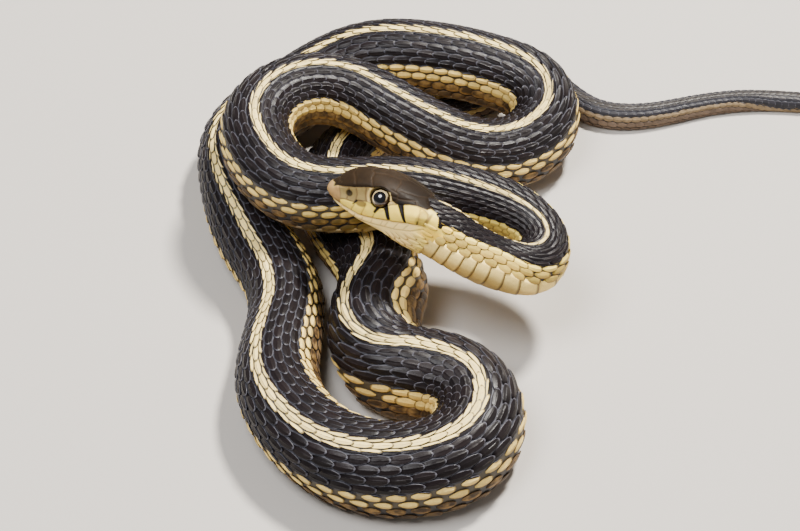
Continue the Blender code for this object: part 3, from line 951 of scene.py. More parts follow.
# %% Making one coat of scales
def make_scales(name, first, last):
    places = back_scales(first, last)
    number = len(places)
    count, row, side = places[:, 0], places[:, 1].astype(int), places[:, 2]
    u, v, under = BACK_LEAF["u"], BACK_LEAF["v"], BACK_LEAF["under"]
    each = np.arange(number)
    root = distance_of(count)
    middles, halves, shares = row_places(root)
    girth = middles[each, row] * side
    stretch = np.clip(read_net(net_stretch, root, girth), 0.55, 1.9)
    size = 1 + draws.normal(0, 0.025, number)
    flank = flank_share(root, row)
    nominal, shortening = scale_lengths(root, flank, stretch)
    length = nominal * size * shortening
    spread = scale_spreads(root, row, flank, stretch)
    distance = distance_of(count[:, None] + (v[None] - 0.12) * length[:, None])
    middles_v, halves_v, shares_v = row_places(distance)
    point = np.arange(len(u))[None]
    middle = middles_v[each[:, None], point, row[:, None]]
    half = halves_v[each[:, None], point, row[:, None]]
    outline = leaf_half_width(v[None], (0.6 - 0.35 * flank)[:, None], (1.8 + 0.4 * flank)[:, None])
    reach = outline * spread[:, None] * half
    place_round = side[:, None] * (middle + side[:, None] * u[None] * reach)
    points = on_surface(distance, place_round, scale_lifts(row) * scale_depth(distance))
    rim = np.maximum(np.abs(u) ** 2.5, ease(v, 0.7, 1.0))
    patches = [on_unwrap(root, first, last + PIECE_OVERHANG), on_unwrap(girth, -1, 1)]
    values = {
        "run": distance,
        "row": np.abs(row_number(distance, place_round)),
        "own_row": np.repeat(row[:, None].astype(float), len(u), 1),
        "rim": np.repeat(rim[None], number, 0),
        "along": np.repeat(np.clip(v, 0, 1)[None], number, 0),
        "seed": np.repeat(draws.random(number)[:, None], len(u), 1),
        "under": np.repeat(under[None], number, 0),
    }
    return stamp(name, BACK_LEAF, points, np.stack(patches, 1), values)


# %% [markdown]
# The coat could be one mesh, but three quarters of a million triangles are heavy to paint and
# to export. So it is made as five coats, one behind the other along the snake. The scales lap
# over one another where two coats meet, so no line shows there.

# %% Five coats of scales
SCALE_PIECES = [
    ("scales_neck", 15.0, 130.0),
    ("scales_raised_loops", 130.0, 255.0),
    ("scales_left_side", 255.0, 385.0),
    ("scales_front_loop", 385.0, 515.0),
    ("scales_tail", 515.0, 662.0),
]
scale_coat = [make_scales(*piece) for piece in SCALE_PIECES]
for piece in scale_coat:
    piece.data.calc_loop_triangles()
    print(piece.name, len(piece.data.loop_triangles), "triangles")

# %% [markdown]
# ## The belly plates
#
# Under the body each scale count has one broad plate from flank to flank. The plates overlap
# tailwards like the scales, and the lowest row of scales laps over their ends. Behind the
# vent the plates are in pairs.

# %% Belly plates
BELLY_STARTS = 22.8
PLATE_LENGTH = 1.25
PLATE_BOW = 0.14
PLATE_UNDER_SCALES = 0.035
PLATE_ROOT_DEPTH = 0.75
PLATE_THICKNESS = 0.5


def make_plates(name, first, last, paired):
    counts = np.arange(0, LAST_COUNT - 1.5)
    at = distance_of(counts)
    counts = counts[(at >= first) & (at < last)]
    if paired:
        sides = np.tile([1.0, -1.0], len(counts))
        counts = np.repeat(counts, 2)
        counts = counts + 0.5 * (sides < 0)
    else:
        sides = np.zeros(len(counts))
    u, v, under = PLATE_LEAF["u"], PLATE_LEAF["v"], PLATE_LEAF["under"]
    number = len(counts)
    bow = PLATE_BOW * (1 - u**2)
    along = (v[None] - 0.1) * PLATE_LENGTH + bow[None] * v[None]
    distance = distance_of(counts[:, None] + along)
    edge = belly_edge(distance) - PLATE_UNDER_SCALES
    full = edge + (u[None] + 1) * (1 - edge)
    inner = sides[:, None]
    half = np.where(inner > 0, edge + (u[None] + 1) / 2 * (1.02 - edge),
                    0.98 + (u[None] + 1) / 2 * (1.02 - edge))
    place_round = np.where(inner == 0, full, half)
    depth = scale_depth(distance)
    lift = -PLATE_ROOT_DEPTH + 0.72 * np.clip(v, 0, 1)[None] - 0.1 * ease(v, 0.9, 1.0)[None]
    lift = lift - 0.25 * np.abs(u[None]) ** 6 - under[None] * PLATE_THICKNESS
    lift = np.repeat(lift, number, 0)
    points = on_surface(distance, place_round, lift * depth)
    wrapped = np.where(place_round > 1, 2 - place_round, place_round)
    root = distance_of(counts)
    patches = np.stack([on_unwrap(root, first, last + PIECE_OVERHANG), 0.5 + 0.2 * sides], 1)
    values = {
        "run": distance,
        "row": row_number(distance, wrapped),
        "own_row": np.full(place_round.shape, 10.0),
        "rim": np.repeat(ease(v, 0.7, 1.0)[None], number, 0),
        "along": np.full(place_round.shape, 0.5),
        "seed": np.repeat(draws.random(number)[:, None], len(u), 1),
        "under": np.repeat(under[None], number, 0),
    }
    return stamp(name, PLATE_LEAF, points, patches, values)


belly_coat = [
    make_plates("belly_plates", BELLY_STARTS, TAIL_START, False),
    make_plates("tail_plates", TAIL_START, 657.0, True),
]
print("belly plates", [len(piece.data.polygons) for piece in belly_coat])

# %% [markdown]
# ## The skin and the head
#
# One skin runs from the snout to the tail's tip. Behind the head it is a dark tube just under
# the scales. On the head it is the surface itself: the head's large smooth shields are drawn
# into it. Each seam between shields is a short line on a plan of the head, seen from the side,
# from above or from below, as a field guide would draw it. The skin sinks a little along every
# such line, so each shield stands up as a cushion with its own edges. The mesh there is fine
# enough, about a seventh of a millimetre, for the seams to be real grooves.

# %% Rings of the skin
HEAD_COLUMNS = 320
BODY_COLUMNS = 64
HEAD_END = 31.0
HEAD_STEP = 0.16
BODY_STEP = 1.2

snout_rings = SNOUT_ROUND * (np.arange(1, 14) / 14) ** (1 / SNOUT_BLUNTNESS)
head_run = np.concatenate([snout_rings, np.arange(SNOUT_ROUND, HEAD_END, HEAD_STEP)])
head_half = np.arange(HEAD_COLUMNS // 2 + 1) / (HEAD_COLUMNS // 2) * OUTLINE_SPANS


def both_halves(half):
    """Whole rings from left halves: back, down the left side, belly and up the right."""
    right = half[:, -2:0:-1] * np.array([-1.0, 1.0])
    return np.concatenate([half, right], 1)


head_rings = both_halves(half_outline(head_run, head_half))
head_round = np.concatenate([head_half, head_half[-2:0:-1]])
recede = SNOUT_RECEDE * (1 - ease(head_run, 0, RECEDE_LENGTH))[:, None]
head_along = head_run[:, None] + recede * np.maximum(0.0, -head_rings[:, :, 1])
head_side = head_rings[:, :, 0]
head_up = head_rings[:, :, 1]
print("head net", head_along.shape)

# %% [markdown]
# The plans come next. Each seam is a list of points in millimetres: how far it is behind the
# snout, and how high (from the side) or how far out (from above and below).

# %% Seams of the head, on three plans
SIDE_SEAMS = [
    # back edge of the snout's own shield
    [(2.1, 2.5), (3.0, 1.8), (3.6, 0.7), (3.75, -0.5), (3.7, -1.4)],
    # over the upper lips, before and behind the eye
    [(3.75, -0.45), (4.6, -0.15), (6.8, -0.05), (7.4, 0.4), (9.2, 0.85), (10.3, 0.9)],
    [(12.9, 0.9), (13.5, 1.5), (14.2, 2.1), (15.5, 2.8), (16.4, 3.1), (17.6, 3.7), (18.9, 4.05),
     (20.4, 4.0), (21.2, 3.7)],
    # between the upper lip shields
    [(7.1, 0.1), (6.8, -0.9), (6.3, -2.2)],
    [(9.2, 0.8), (9.1, -0.5), (8.7, -2.4)],
    [(11.8, 0.6), (11.5, -0.9), (11.2, -2.2)],
    [(13.4, 1.4), (14.2, 0.6), (14.8, -0.4), (15.0, -1.35)],
    [(16.2, 3.0), (17.3, 1.8), (18.2, 0.7), (18.6, 0.0)],
    [(19.6, 4.0), (20.1, 2.9), (20.6, 1.4), (20.6, 0.7)],
    [(21.2, 3.7), (21.7, 2.9), (21.7, 1.4)],
    # nose, cheek and the two before the eye
    [(6.6, 3.1), (7.05, 1.6), (7.0, 0.2)],
    [(8.7, 3.9), (8.75, 2.0), (9.2, 0.9)],
    [(5.2, 2.5), (5.3, 1.6), (5.1, 0.1)],
    # under the brow
    [(2.6, 1.95), (3.4, 2.1), (4.7, 2.45), (6.5, 2.95), (8.6, 3.7), (9.8, 4.15)],
    # behind the eye
    [(13.6, 5.0), (14.9, 4.7), (15.1, 3.7), (14.6, 2.5)],
    [(13.3, 3.9), (15.1, 4.0)],
    [(13.3, 2.5), (14.8, 3.1)],
    # the temples
    [(18.2, 5.2), (18.4, 4.5), (18.9, 4.1)],
    [(15.1, 3.9), (16.6, 4.2), (18.4, 4.7)],
    [(20.9, 5.0), (20.8, 4.4), (20.6, 4.0)],
]
LOWER_LIP_EDGE = [(3.2, -2.5), (6.4, -3.3), (9.0, -3.5), (12.9, -3.1), (17.0, -2.2), (20.2, -0.9),
                  (22.0, 0.6)]
LOWER_LIP_SEAMS = (4.4, 6.0, 7.7, 9.5, 11.6, 13.9, 16.0, 18.0, 19.8)
TOP_SEAMS = [
    # front edge, and the line down the middle of the snout
    [(3.3, 2.3), (2.5, 1.4), (2.2, 0.0)],
    [(2.2, 0.0), (8.8, 0.0)],
    # across the snout
    [(5.3, 0.0), (5.1, 1.3), (6.0, 2.9), (6.4, 3.8)],
    # in front of the brows and the crown's middle shield
    [(8.8, 0.0), (8.6, 1.1), (9.2, 1.75), (9.1, 3.1), (9.8, 4.6)],
    # beside the middle shield, and its point
    [(9.2, 1.75), (11.5, 1.4), (13.9, 1.35), (15.2, 0.0)],
    # behind the brows
    [(13.9, 1.35), (14.3, 2.7), (14.1, 4.9)],
    # between and round the two large shields behind
    [(15.2, 0.0), (19.2, 0.0)],
    [(14.6, 4.4), (16.4, 4.1), (18.2, 3.4), (19.6, 2.0), (19.7, 0.8), (19.2, 0.0)],
]
UNDER_SEAMS = [
    [(3.2, 1.5), (4.2, 0.6), (4.4, 0.0)],
    [(4.4, 0.0), (13.2, 0.0)],
    [(4.2, 0.6), (5.4, 1.7), (8.4, 1.9), (8.9, 0.9), (8.8, 0.0)],
    [(8.4, 1.9), (10.0, 2.3), (12.6, 2.0), (13.4, 1.2), (13.2, 0.0)],
]


def distance_to(line, along, other):
    """How far points of a plan are from a line of short straight stretches."""
    nearest = np.full(along.shape, np.inf)
    for (a0, b0), (a1, b1) in zip(line, line[1:]):
        da = a1 - a0
        db = b1 - b0
        t = np.clip(((along - a0) * da + (other - b0) * db) / (da * da + db * db), 0, 1)
        gap = np.hypot(along - a0 - t * da, other - b0 - t * db)
        nearest = np.minimum(nearest, gap)
    return nearest


def seam_of(gap, half_width):
    return np.exp(-((gap / half_width) ** 2))


print("seams drawn", len(SIDE_SEAMS) + len(TOP_SEAMS) + len(UNDER_SEAMS) + len(LOWER_LIP_SEAMS))

# %% [markdown]
# The eye's opening is round and faces out, a little up and forward. The skin is pressed in
# there to make the socket, and the nostril and the groove of the mouth are pressed in too.

# %% Eye, nostril and mouth
EYE_PLACE = (11.9, 3.7, 2.1)
EYE_RADIUS = 2.0
EYE_TURN_UP = math.radians(24.0)
EYE_TURN_FORWARD = math.radians(8.0)
NOSTRIL_PLACE = (5.35, 3.4, 1.3)
SEAM_DEPTH = 0.13
SEAM_HALF_WIDTH = 0.13

eye_way = np.array([
    -math.sin(EYE_TURN_FORWARD),
    math.cos(EYE_TURN_FORWARD) * math.cos(EYE_TURN_UP),
    math.cos(EYE_TURN_FORWARD) * math.sin(EYE_TURN_UP),
])


def from_eye(along, side, up):
    """Distance out along the eye's own line, and distance from that line."""
    apart = np.stack([along - EYE_PLACE[0], np.abs(side) - EYE_PLACE[1], up - EYE_PLACE[2]], -1)
    out = apart @ eye_way
    off = np.linalg.norm(apart - out[..., None] * eye_way, axis=-1)
    return out, off


eye_out, eye_off = from_eye(head_along, head_side, head_up)
socket = (1 - ease(eye_off, 1.75, 2.15)) * (eye_out > -0.5)
press = socket * np.maximum(eye_out + 0.3, 0.0)
brow_ring = 0.16 * np.exp(-(((eye_off - 2.35) / 0.22) ** 2)) * (eye_out > -0.5)
ring_shift = (brow_ring - press)[..., None] * eye_way
side_sign = np.where(head_side >= 0, 1.0, -1.0)
head_along = head_along + ring_shift[..., 0]
head_side = head_side + ring_shift[..., 1] * side_sign
head_up = head_up + ring_shift[..., 2]
plan_side = np.abs(head_side)

NOSTRIL_LENGTH_TO_HEIGHT = 1.15
NOSTRIL_RADIUS = 0.58
nostril_along = (head_along - NOSTRIL_PLACE[0]) / NOSTRIL_LENGTH_TO_HEIGHT
nostril_gap = np.hypot(nostril_along, head_up - NOSTRIL_PLACE[2])
nostril = seam_of(nostril_gap, NOSTRIL_RADIUS) * (plan_side > 1.8)
MOUTH_LINE = [(0.0, -1.1), (2.2, -1.4), (3.7, -1.7), (5.2, -1.95), (8.0, -2.42), (10.0, -2.3),
              (12.0, -2.0), (16.0, -0.95), (19.0, 0.2), (21.2, 0.95), (22.0, 1.15)]
mouth_gap = distance_to(MOUTH_LINE, head_along, head_up)
mouth = seam_of(mouth_gap, 0.2) * (head_along < 22.3)
print("socket depth", round(float(press.max()), 2), "mm")

# %% [markdown]
# Now every point of the head asks how near it is to a seam. A narrow bell-shaped dip over that
# distance gives a groove with soft edges, which a boolean cut wouldn't. A plan only counts on
# the side that it is drawn for, so each is faded out where the head turns away from it.

# %% Grooves between the shields
from_side = ease(head_round, 0.9, 1.1) * (1 - ease(head_round, 5.2, 5.6))
from_top = 1 - ease(head_round, 1.0, 1.25)
from_under = ease(head_round, 4.7, 5.1)
grooves = np.zeros(head_along.shape)
for line in SIDE_SEAMS:
    seam = seam_of(distance_to(line, head_along, head_up), SEAM_HALF_WIDTH) * from_side
    grooves = np.maximum(grooves, seam)
for line in TOP_SEAMS:
    seam = seam_of(distance_to(line, head_along, plan_side), SEAM_HALF_WIDTH) * from_top
    grooves = np.maximum(grooves, 0.8 * seam)
for line in UNDER_SEAMS:
    seam = seam_of(distance_to(line, head_along, plan_side), SEAM_HALF_WIDTH) * from_under
    grooves = np.maximum(grooves, seam)
lip_gap = distance_to(LOWER_LIP_EDGE, head_along, head_up)
lip_side = (head_round > 3.9) & (head_round < 6.3)
grooves = np.maximum(grooves, seam_of(lip_gap, SEAM_HALF_WIDTH) * lip_side)
lip_low = read_line(LOWER_LIP_EDGE, head_along)
lip_high = read_line(MOUTH_LINE, head_along)
in_lower_lip = (head_up < lip_high) & (head_up > lip_low) & lip_side
LIP_RISES_BEHIND = 14.0
for start in LOWER_LIP_SEAMS:
    slant = [(start, -0.4), (start - 0.5, -3.4)]
    if start > LIP_RISES_BEHIND:
        slant = [(start, 1.6), (start - 1.6, -3.0)]
    seam = seam_of(distance_to(slant, head_along, head_up), SEAM_HALF_WIDTH)
    grooves = np.maximum(grooves, 0.8 * seam * in_lower_lip)
print("deepest seam", round(float(grooves.max()), 2))

# %% [markdown]
# ## The throat's small scales
#
# The throat and the sides of the neck behind the jaws have rows of small smooth scales that
# lap tailwards. They are stamped like the back's, only smaller, from a plan that counts
# distance along the snake and distance out from the middle of the throat.

# %% Lower edge of the brown crown, which the small scales stop at
CROWN_LINE = [(0.0, 1.7), (1.6, 1.8), (2.8, 2.0), (4.7, 2.45), (6.5, 2.95), (8.6, 3.7), (9.9, 4.15),
              (11.4, 4.7), (12.8, 4.5), (13.5, 4.4), (13.9, 3.7), (14.3, 3.0), (15.15, 2.75),
              (15.5, 2.8), (16.4, 3.1), (17.6, 3.7), (18.9, 4.05), (20.6, 4.1), (21.2, 4.75),
              (22.2, 4.7), (22.8, 4.2), (23.3, 3.3), (23.8, 2.1), (24.3, 2.1), (25.0, 2.6),
              (26.2, 3.2), (31.0, 3.4)]
print("crown's edge over the eye", read_line(CROWN_LINE, EYE_PLACE[0]), "mm over the axis")

# %% Where the small throat scales grow
THROAT_LENGTH = 2.7
THROAT_ROW = 0.86
THROAT_RUN = (13.6, 24.2)
JAW_END = 21.3


def local_up(point, distance):
    """How high a point lies over the axis, measured along the head's own up."""
    apart = point - along_route(axis_points, distance)
    return (apart * along_route(upward_way, distance)).sum(-1)


def throat_places():
    """Distance along and place round for the root of each small throat scale."""
    places = []
    for step in range(int((THROAT_RUN[1] - THROAT_RUN[0]) / THROAT_LENGTH * 2)):
        root = THROAT_RUN[0] + step * THROAT_LENGTH / 2
        half_girth = np.interp(root, net_run, net_girth)
        for row in range(-22, 23):
            if (row + step) % 2:
                continue
            girth = 1.0 - abs(row) * THROAT_ROW / half_girth
            side = 1 if row >= 0 else -1
            if girth < 0.2:
                continue
            up = local_up(on_surface(root + 0.8, side * girth, 0.0), root + 0.8)
            if root < JAW_END and up > read_line(LOWER_LIP_EDGE, root + 0.8) - 0.1:
                continue
            too_high = up > read_line(CROWN_LINE, root + 1.6) - 0.2
            if root >= JAW_END and (too_high or girth < 0.3 + 0.16 * (root - JAW_END)):
                continue
            places.append((root, side * girth))
    return np.array(places)


print("throat scales", len(throat_places()))


# %% Making the throat scales
def make_throat_scales(name):
    places = throat_places()
    number = len(places)
    root, girth = places[:, 0], places[:, 1]
    side = np.sign(girth)
    u, v, under = BACK_LEAF["u"], BACK_LEAF["v"], BACK_LEAF["under"]
    half_girth = np.interp(root, net_run, net_girth)
    size = (1 + draws.normal(0, 0.05, number))[:, None]
    shorter = (1 - 0.3 * ease(root, 19.5, 22.5))[:, None]
    reach = leaf_half_width(v[None], 0.35, 1.7) * 0.62 * THROAT_ROW * size
    distance = root[:, None] + (v[None] - 0.1) * THROAT_LENGTH * 1.3 * size * shorter
    swing = 0.1 * (v[None] - 0.5) * THROAT_LENGTH
    place_round = girth[:, None] + side[:, None] * (u[None] * reach + swing) / half_girth[:, None]
    dome = 0.16 * (1 - u**2) * np.sin(np.clip(v, 0, 1) * math.pi) ** 0.7
    lift = -0.14 + 0.24 * np.clip(v, 0, 1) + dome - 0.14 * under - 0.08 * ease(v, 0.88, 1.0)
    points = on_surface(distance, place_round, np.repeat(lift[None], number, 0))
    patches = np.stack([on_unwrap(root, 12, 30), on_unwrap(girth, -1, 1)], 1)
    seam_near = np.maximum(np.abs(u) ** 1.7, ease(v, 0.7, 1.0))
    up_here = local_up(points, distance)
    warm_here = 1 - ease(np.hypot((distance - 24.6) / 3.2, (up_here - 0.6) / 2.2), 0.4, 1.5)
    values = {
        "band": ease(distance + 0.25 * up_here, 19.5, 23.0),
        "warm": warm_here,
        "rim": np.repeat(seam_near[None], number, 0),
        "seed": np.repeat(draws.random(number)[:, None], len(u), 1),
        "under": np.repeat(under[None], number, 0),
    }
    return stamp(name, BACK_LEAF, points, patches, values)


throat_scales = make_throat_scales("throat_scales")
throat_scales.data.calc_loop_triangles()
print("throat scales", len(throat_scales.data.loop_triangles), "triangles")

# %% [markdown]
# ## Stains of the head
#
# The head's colours are stains on the net of its seams: brown on the crown, cream on the lips, an
# olive cheek, black wedges between the lip shields. Each stain is kept on the mesh as a
# number from 0 to 1, and the material decides what colour it is.


# %% Helpers for stains
def blob(centre, radii, softness=0.35):
    gap = np.hypot((head_along - centre[0]) / radii[0], (head_up - centre[1]) / radii[1])
    return 1 - ease(gap, 1 - softness, 1 + softness)


def wedge(start, end, start_half, end_half):
    """A dark mark that narrows from start to end, on the side plan."""
    da = end[0] - start[0]
    db = end[1] - start[1]
    behind = head_along - start[0]
    above = head_up - start[1]
    t = np.clip((behind * da + above * db) / (da * da + db * db), 0, 1)
    gap = np.hypot(head_along - start[0] - t * da, head_up - start[1] - t * db)
    half = start_half + (end_half - start_half) * t
    return 1 - ease(gap, half - 0.08, half + 0.08)


print("stains are read on", head_along.size, "points of the head")

# %% Stains of the crown, snout, lips and cheek
LIP_TOP = [(3.7, -0.45), (4.6, -0.15), (6.8, -0.05), (7.4, 0.4), (9.2, 0.85), (10.1, 0.9),
           (12.9, 0.9), (13.5, 1.5), (14.2, 2.1), (15.5, 2.8), (16.4, 3.1), (17.6, 3.7),
           (18.9, 4.05), (20.4, 4.0), (21.4, 3.7)]
crown_low = read_line(CROWN_LINE, head_along)
crown = np.maximum(ease(head_up - crown_low, -0.06, 0.08), from_top * ease(head_along, 1.2, 1.9))
snout_back = np.interp(head_up, [-1.4, -0.5, 0.7, 1.8, 2.5], [3.7, 3.75, 3.6, 3.0, 2.1])
above_mouth = ease(head_up - lip_high, -0.05, 0.1)
snout_stain = (1 - ease(head_along - snout_back, -0.08, 0.1)) * above_mouth * (1 - crown)
lip_top = read_line(LIP_TOP, head_along)
lip_stain = above_mouth * (1 - ease(head_up - lip_top, -0.04, 0.06)) * (1 - snout_stain)
cheek_stain = ease(head_up - lip_top, -0.04, 0.06) * (1 - crown) * (1 - ease(head_along, 9.2, 9.6))
cheek_stain = cheek_stain * (1 - snout_stain)
print("share of the head's points under the crown's brown", round(float(crown.mean()), 2))

# %% Black wedges, the eye's dark rim and the nostril
LIP_WEDGES = [
    ((7.2, 0.35), (6.6, -0.45), 0.24, 0.1),
    ((12.1, 0.9), (11.5, -0.45), 0.42, 0.28),
    ((13.3, 1.7), (14.85, -0.6), 0.55, 0.42),
    ((16.1, 3.1), (18.4, 0.3), 0.6, 0.24),
    ((20.4, 1.6), (20.6, 0.8), 0.08, 0.14),
]
ink_and_shade = np.zeros(head_along.shape)
for start, end, wide, narrow in LIP_WEDGES:
    ink_and_shade = np.maximum(ink_and_shade, wedge(start, end, wide, narrow))
ink_and_shade = ink_and_shade * from_side * above_mouth
behind_eye = np.hypot(head_along - 15.3, head_up - 3.5)
crown = np.maximum(crown, (1 - ease(behind_eye, 0.4, 0.55)) * from_side)
ink_and_shade = np.maximum(ink_and_shade, crown * ease(head_along, 21.3, 22.6))
# painted shade: the socket and the ring round the eye are inked black, as the gap round the eyeball
eye_rim = np.exp(-(((eye_off - 2.0) / 0.2) ** 2)) * (eye_out > -0.5)
ink_and_shade = np.maximum(ink_and_shade, np.maximum(eye_rim, socket))
# painted shade: the nostril's hollow is inked black
ink_and_shade = np.maximum(ink_and_shade, 0.85 * (1 - ease(nostril_gap, 0.5, 0.75)) * (plan_side > 1.8))
print("wedges between the lip shields", len(LIP_WEDGES))

# %% Brown smudges, pale patches and the warm spot behind the jaw
smudge = np.maximum(blob((8.2, 0.15), (1.2, 0.62), 0.25), blob((21.75, 2.6), (0.35, 1.3)))
smudge = np.maximum(smudge, 0.62 * blob((20.8, 2.4), (1.0, 1.9), 0.2) * lip_stain)
smudge = np.maximum(smudge, 0.16 * ease(head_along, 17.2, 19.0) * lip_stain)
smudge = smudge * from_side
pale = np.maximum(blob((14.1, 2.6), (0.4, 0.7), 0.25), blob((14.5, 3.7), (0.22, 0.34), 0.25))
pale = np.maximum(pale, 0.8 * blob((9.3, 2.3), (0.3, 1.1), 0.3) * (eye_off > 2.1)) * from_side
pale = pale * (1 - ink_and_shade)
warm = blob((24.6, 0.6), (3.2, 2.2), 0.6) * (1 - crown)
band = ease(head_along + 0.25 * head_up, 19.5, 23.0) * (1 - ease(head_up - crown_low, -0.3, 0.2))
stains = {
    "crown": crown, "snout": snout_stain, "lip": lip_stain, "cheek": cheek_stain, "ink_and_shade": ink_and_shade,
    "smudge": smudge, "pale": pale, "warm": warm, "band": band,
    # the seam stain darkens the grooves between shields, and lays painted shade along the mouth's
    # groove
    "seam": np.maximum(grooves * (1 - 0.85 * crown) * (1 + 0.5 * cheek_stain), 0.9 * mouth),
}
print("stains", ", ".join(stains))

# %% [markdown]
# ## One skin over all of it
#
# The head's points move in along the seams, the mouth and the nostrils. Where the scales begin
# they sink to the depth that the rest of the skin has, so that no edge of it shows between
# scales. The body needs far fewer points than the head, so its rings are coarser, and a band
# of triangles joins the two.

# %% Points of the head, sunk where the scales begin
MOUTH_DEPTH = 0.3
NOSTRIL_DEPTH = 0.5
ROWS_ROUND_HEAD = [(0, 0), (1.0, 4.5), (2.0, 6.6), (3.0, 8.2), (3.6, 9.2), (4.2, 10.5)]
head_points = place(head_along, head_side, head_up)
head_rise = -SEAM_DEPTH * grooves - MOUTH_DEPTH * mouth - NOSTRIL_DEPTH * nostril
row_guess = read_line(ROWS_ROUND_HEAD, head_round)
begins = np.interp(row_guess, np.arange(10), SCALES_BEGIN)
first_plate = distance_of(math.ceil(np.interp(BELLY_STARTS, count_run, count_at)))
begins = np.where(head_round > 4.2, first_plate - 0.4, begins)
sink = ease(head_along, begins[None] - 0.1, begins[None] + 1.2)
head_rise = head_rise * (1 - sink) - sink * scale_depth(head_along)
head_points = head_points + outward_of(head_points) * head_rise[..., None]
print("head points", head_points.shape[0] * head_points.shape[1])

# %% Points of the body
body_run = np.arange(HEAD_END + 0.6, SNAKE_LENGTH - 0.3, BODY_STEP)
body_half = np.arange(BODY_COLUMNS // 2 + 1) / (BODY_COLUMNS // 2) * OUTLINE_SPANS
body_rings = both_halves(half_outline(body_run, body_half))
shrink = 1 - 2 * scale_depth(body_run) / width_at(body_run)
body_rings = body_rings * shrink[:, None, None]
run_grid = np.repeat(body_run[:, None], BODY_COLUMNS, 1)
body_points = place(run_grid, body_rings[:, :, 0], body_rings[:, :, 1])
floor_gap = np.minimum(0.25, scale_depth(body_run))[:, None]
body_points[..., 2] = np.maximum(body_points[..., 2], floor_gap)
print("body rings", len(body_run))


# %% One mesh from head and body
def grid_faces(first, rings, columns):
    ring = np.arange(rings - 1)[:, None] * columns
    column = np.arange(columns)[None]
    after = (column + 1) % columns
    corners = [ring + column, ring + after, ring + columns + after, ring + columns + column]
    return (np.stack(corners, -1).reshape(-1, 4) + first).tolist()


def make_skin():
    tip = place(np.array([0.0]), np.array([0.0]), np.array([CENTRE_UP]))
    end = place(np.array([SNAKE_LENGTH - 0.2]), np.array([0.0]), np.array([0.0]))
    head_count = head_points.shape[0] * HEAD_COLUMNS
    points = [tip, head_points.reshape(-1, 3), body_points.reshape(-1, 3), end]
    first_body = 1 + head_count
    faces = [(0, 1 + (c + 1) % HEAD_COLUMNS, 1 + c) for c in range(HEAD_COLUMNS)]
    faces += grid_faces(1, head_points.shape[0], HEAD_COLUMNS)
    last_ring = first_body - HEAD_COLUMNS
    ratio = HEAD_COLUMNS // BODY_COLUMNS
    for column in range(BODY_COLUMNS):
        this = first_body + column
        after = first_body + (column + 1) % BODY_COLUMNS
        front = [last_ring + (column * ratio + k) % HEAD_COLUMNS for k in range(ratio + 1)]
        half = ratio // 2
        faces += [(front[k], front[k + 1], this) for k in range(half)]
        faces.append((front[half], after, this))
        faces += [(front[k], front[k + 1], after) for k in range(half, ratio)]
    faces += grid_faces(first_body, len(body_run), BODY_COLUMNS)
    final_ring = first_body + (len(body_run) - 1) * BODY_COLUMNS
    end_index = first_body + len(body_run) * BODY_COLUMNS
    faces += [(final_ring + c, final_ring + (c + 1) % BODY_COLUMNS, end_index)
              for c in range(BODY_COLUMNS)]
    mesh = bpy.data.meshes.new("skin")
    mesh.from_pydata((np.vstack(points) * MM).tolist(), [], faces)
    mesh.validate()
    mesh.update()
    mesh.shade_smooth()
    zeros = np.zeros(len(body_points.reshape(-1, 3)))
    whole = {key: np.concatenate([[value[0].mean()], value.ravel(), zeros, [0.0]])
             for key, value in stains.items()}
    girth_body = np.concatenate([body_half, body_half[-2:0:-1]]) / OUTLINE_SPANS
    girth_body = np.repeat(girth_body[None], len(body_run), 0)
    row_head = np.repeat(row_guess[None], len(head_run), 0)
    row_body = row_number(run_grid, girth_body)
    whole["row"] = np.concatenate([[0.0], row_head.ravel(), row_body.ravel(), [0.0]])
    whole["run"] = np.concatenate([[0.0], head_along.ravel(), run_grid.ravel(), [SNAKE_LENGTH]])
    keep_numbers(mesh, whole)
    head_faces = HEAD_COLUMNS + (head_points.shape[0] - 1) * HEAD_COLUMNS
    slots = np.ones(len(mesh.polygons), np.int32)
    slots[:head_faces] = 0
    return in_scene("skin", mesh), slots


skin, skin_slots = make_skin()
skin.data.calc_loop_triangles()
print("skin", len(skin.data.loop_triangles), "triangles")

# %% [markdown]
# ## The eyes
#
# A snake has no lids: a clear scale covers the eye, so it looks wet and glassy. Each eye is a
# ball that is a little flatter than a sphere towards the front. The pupil, the pale ring round
# it and the brown iris are painted by how far a point lies from the eye's own line.

# %% Eyes
EYE_SEGMENTS = 64
EYE_ROWS = 40
EYE_FLATNESS = 0.9


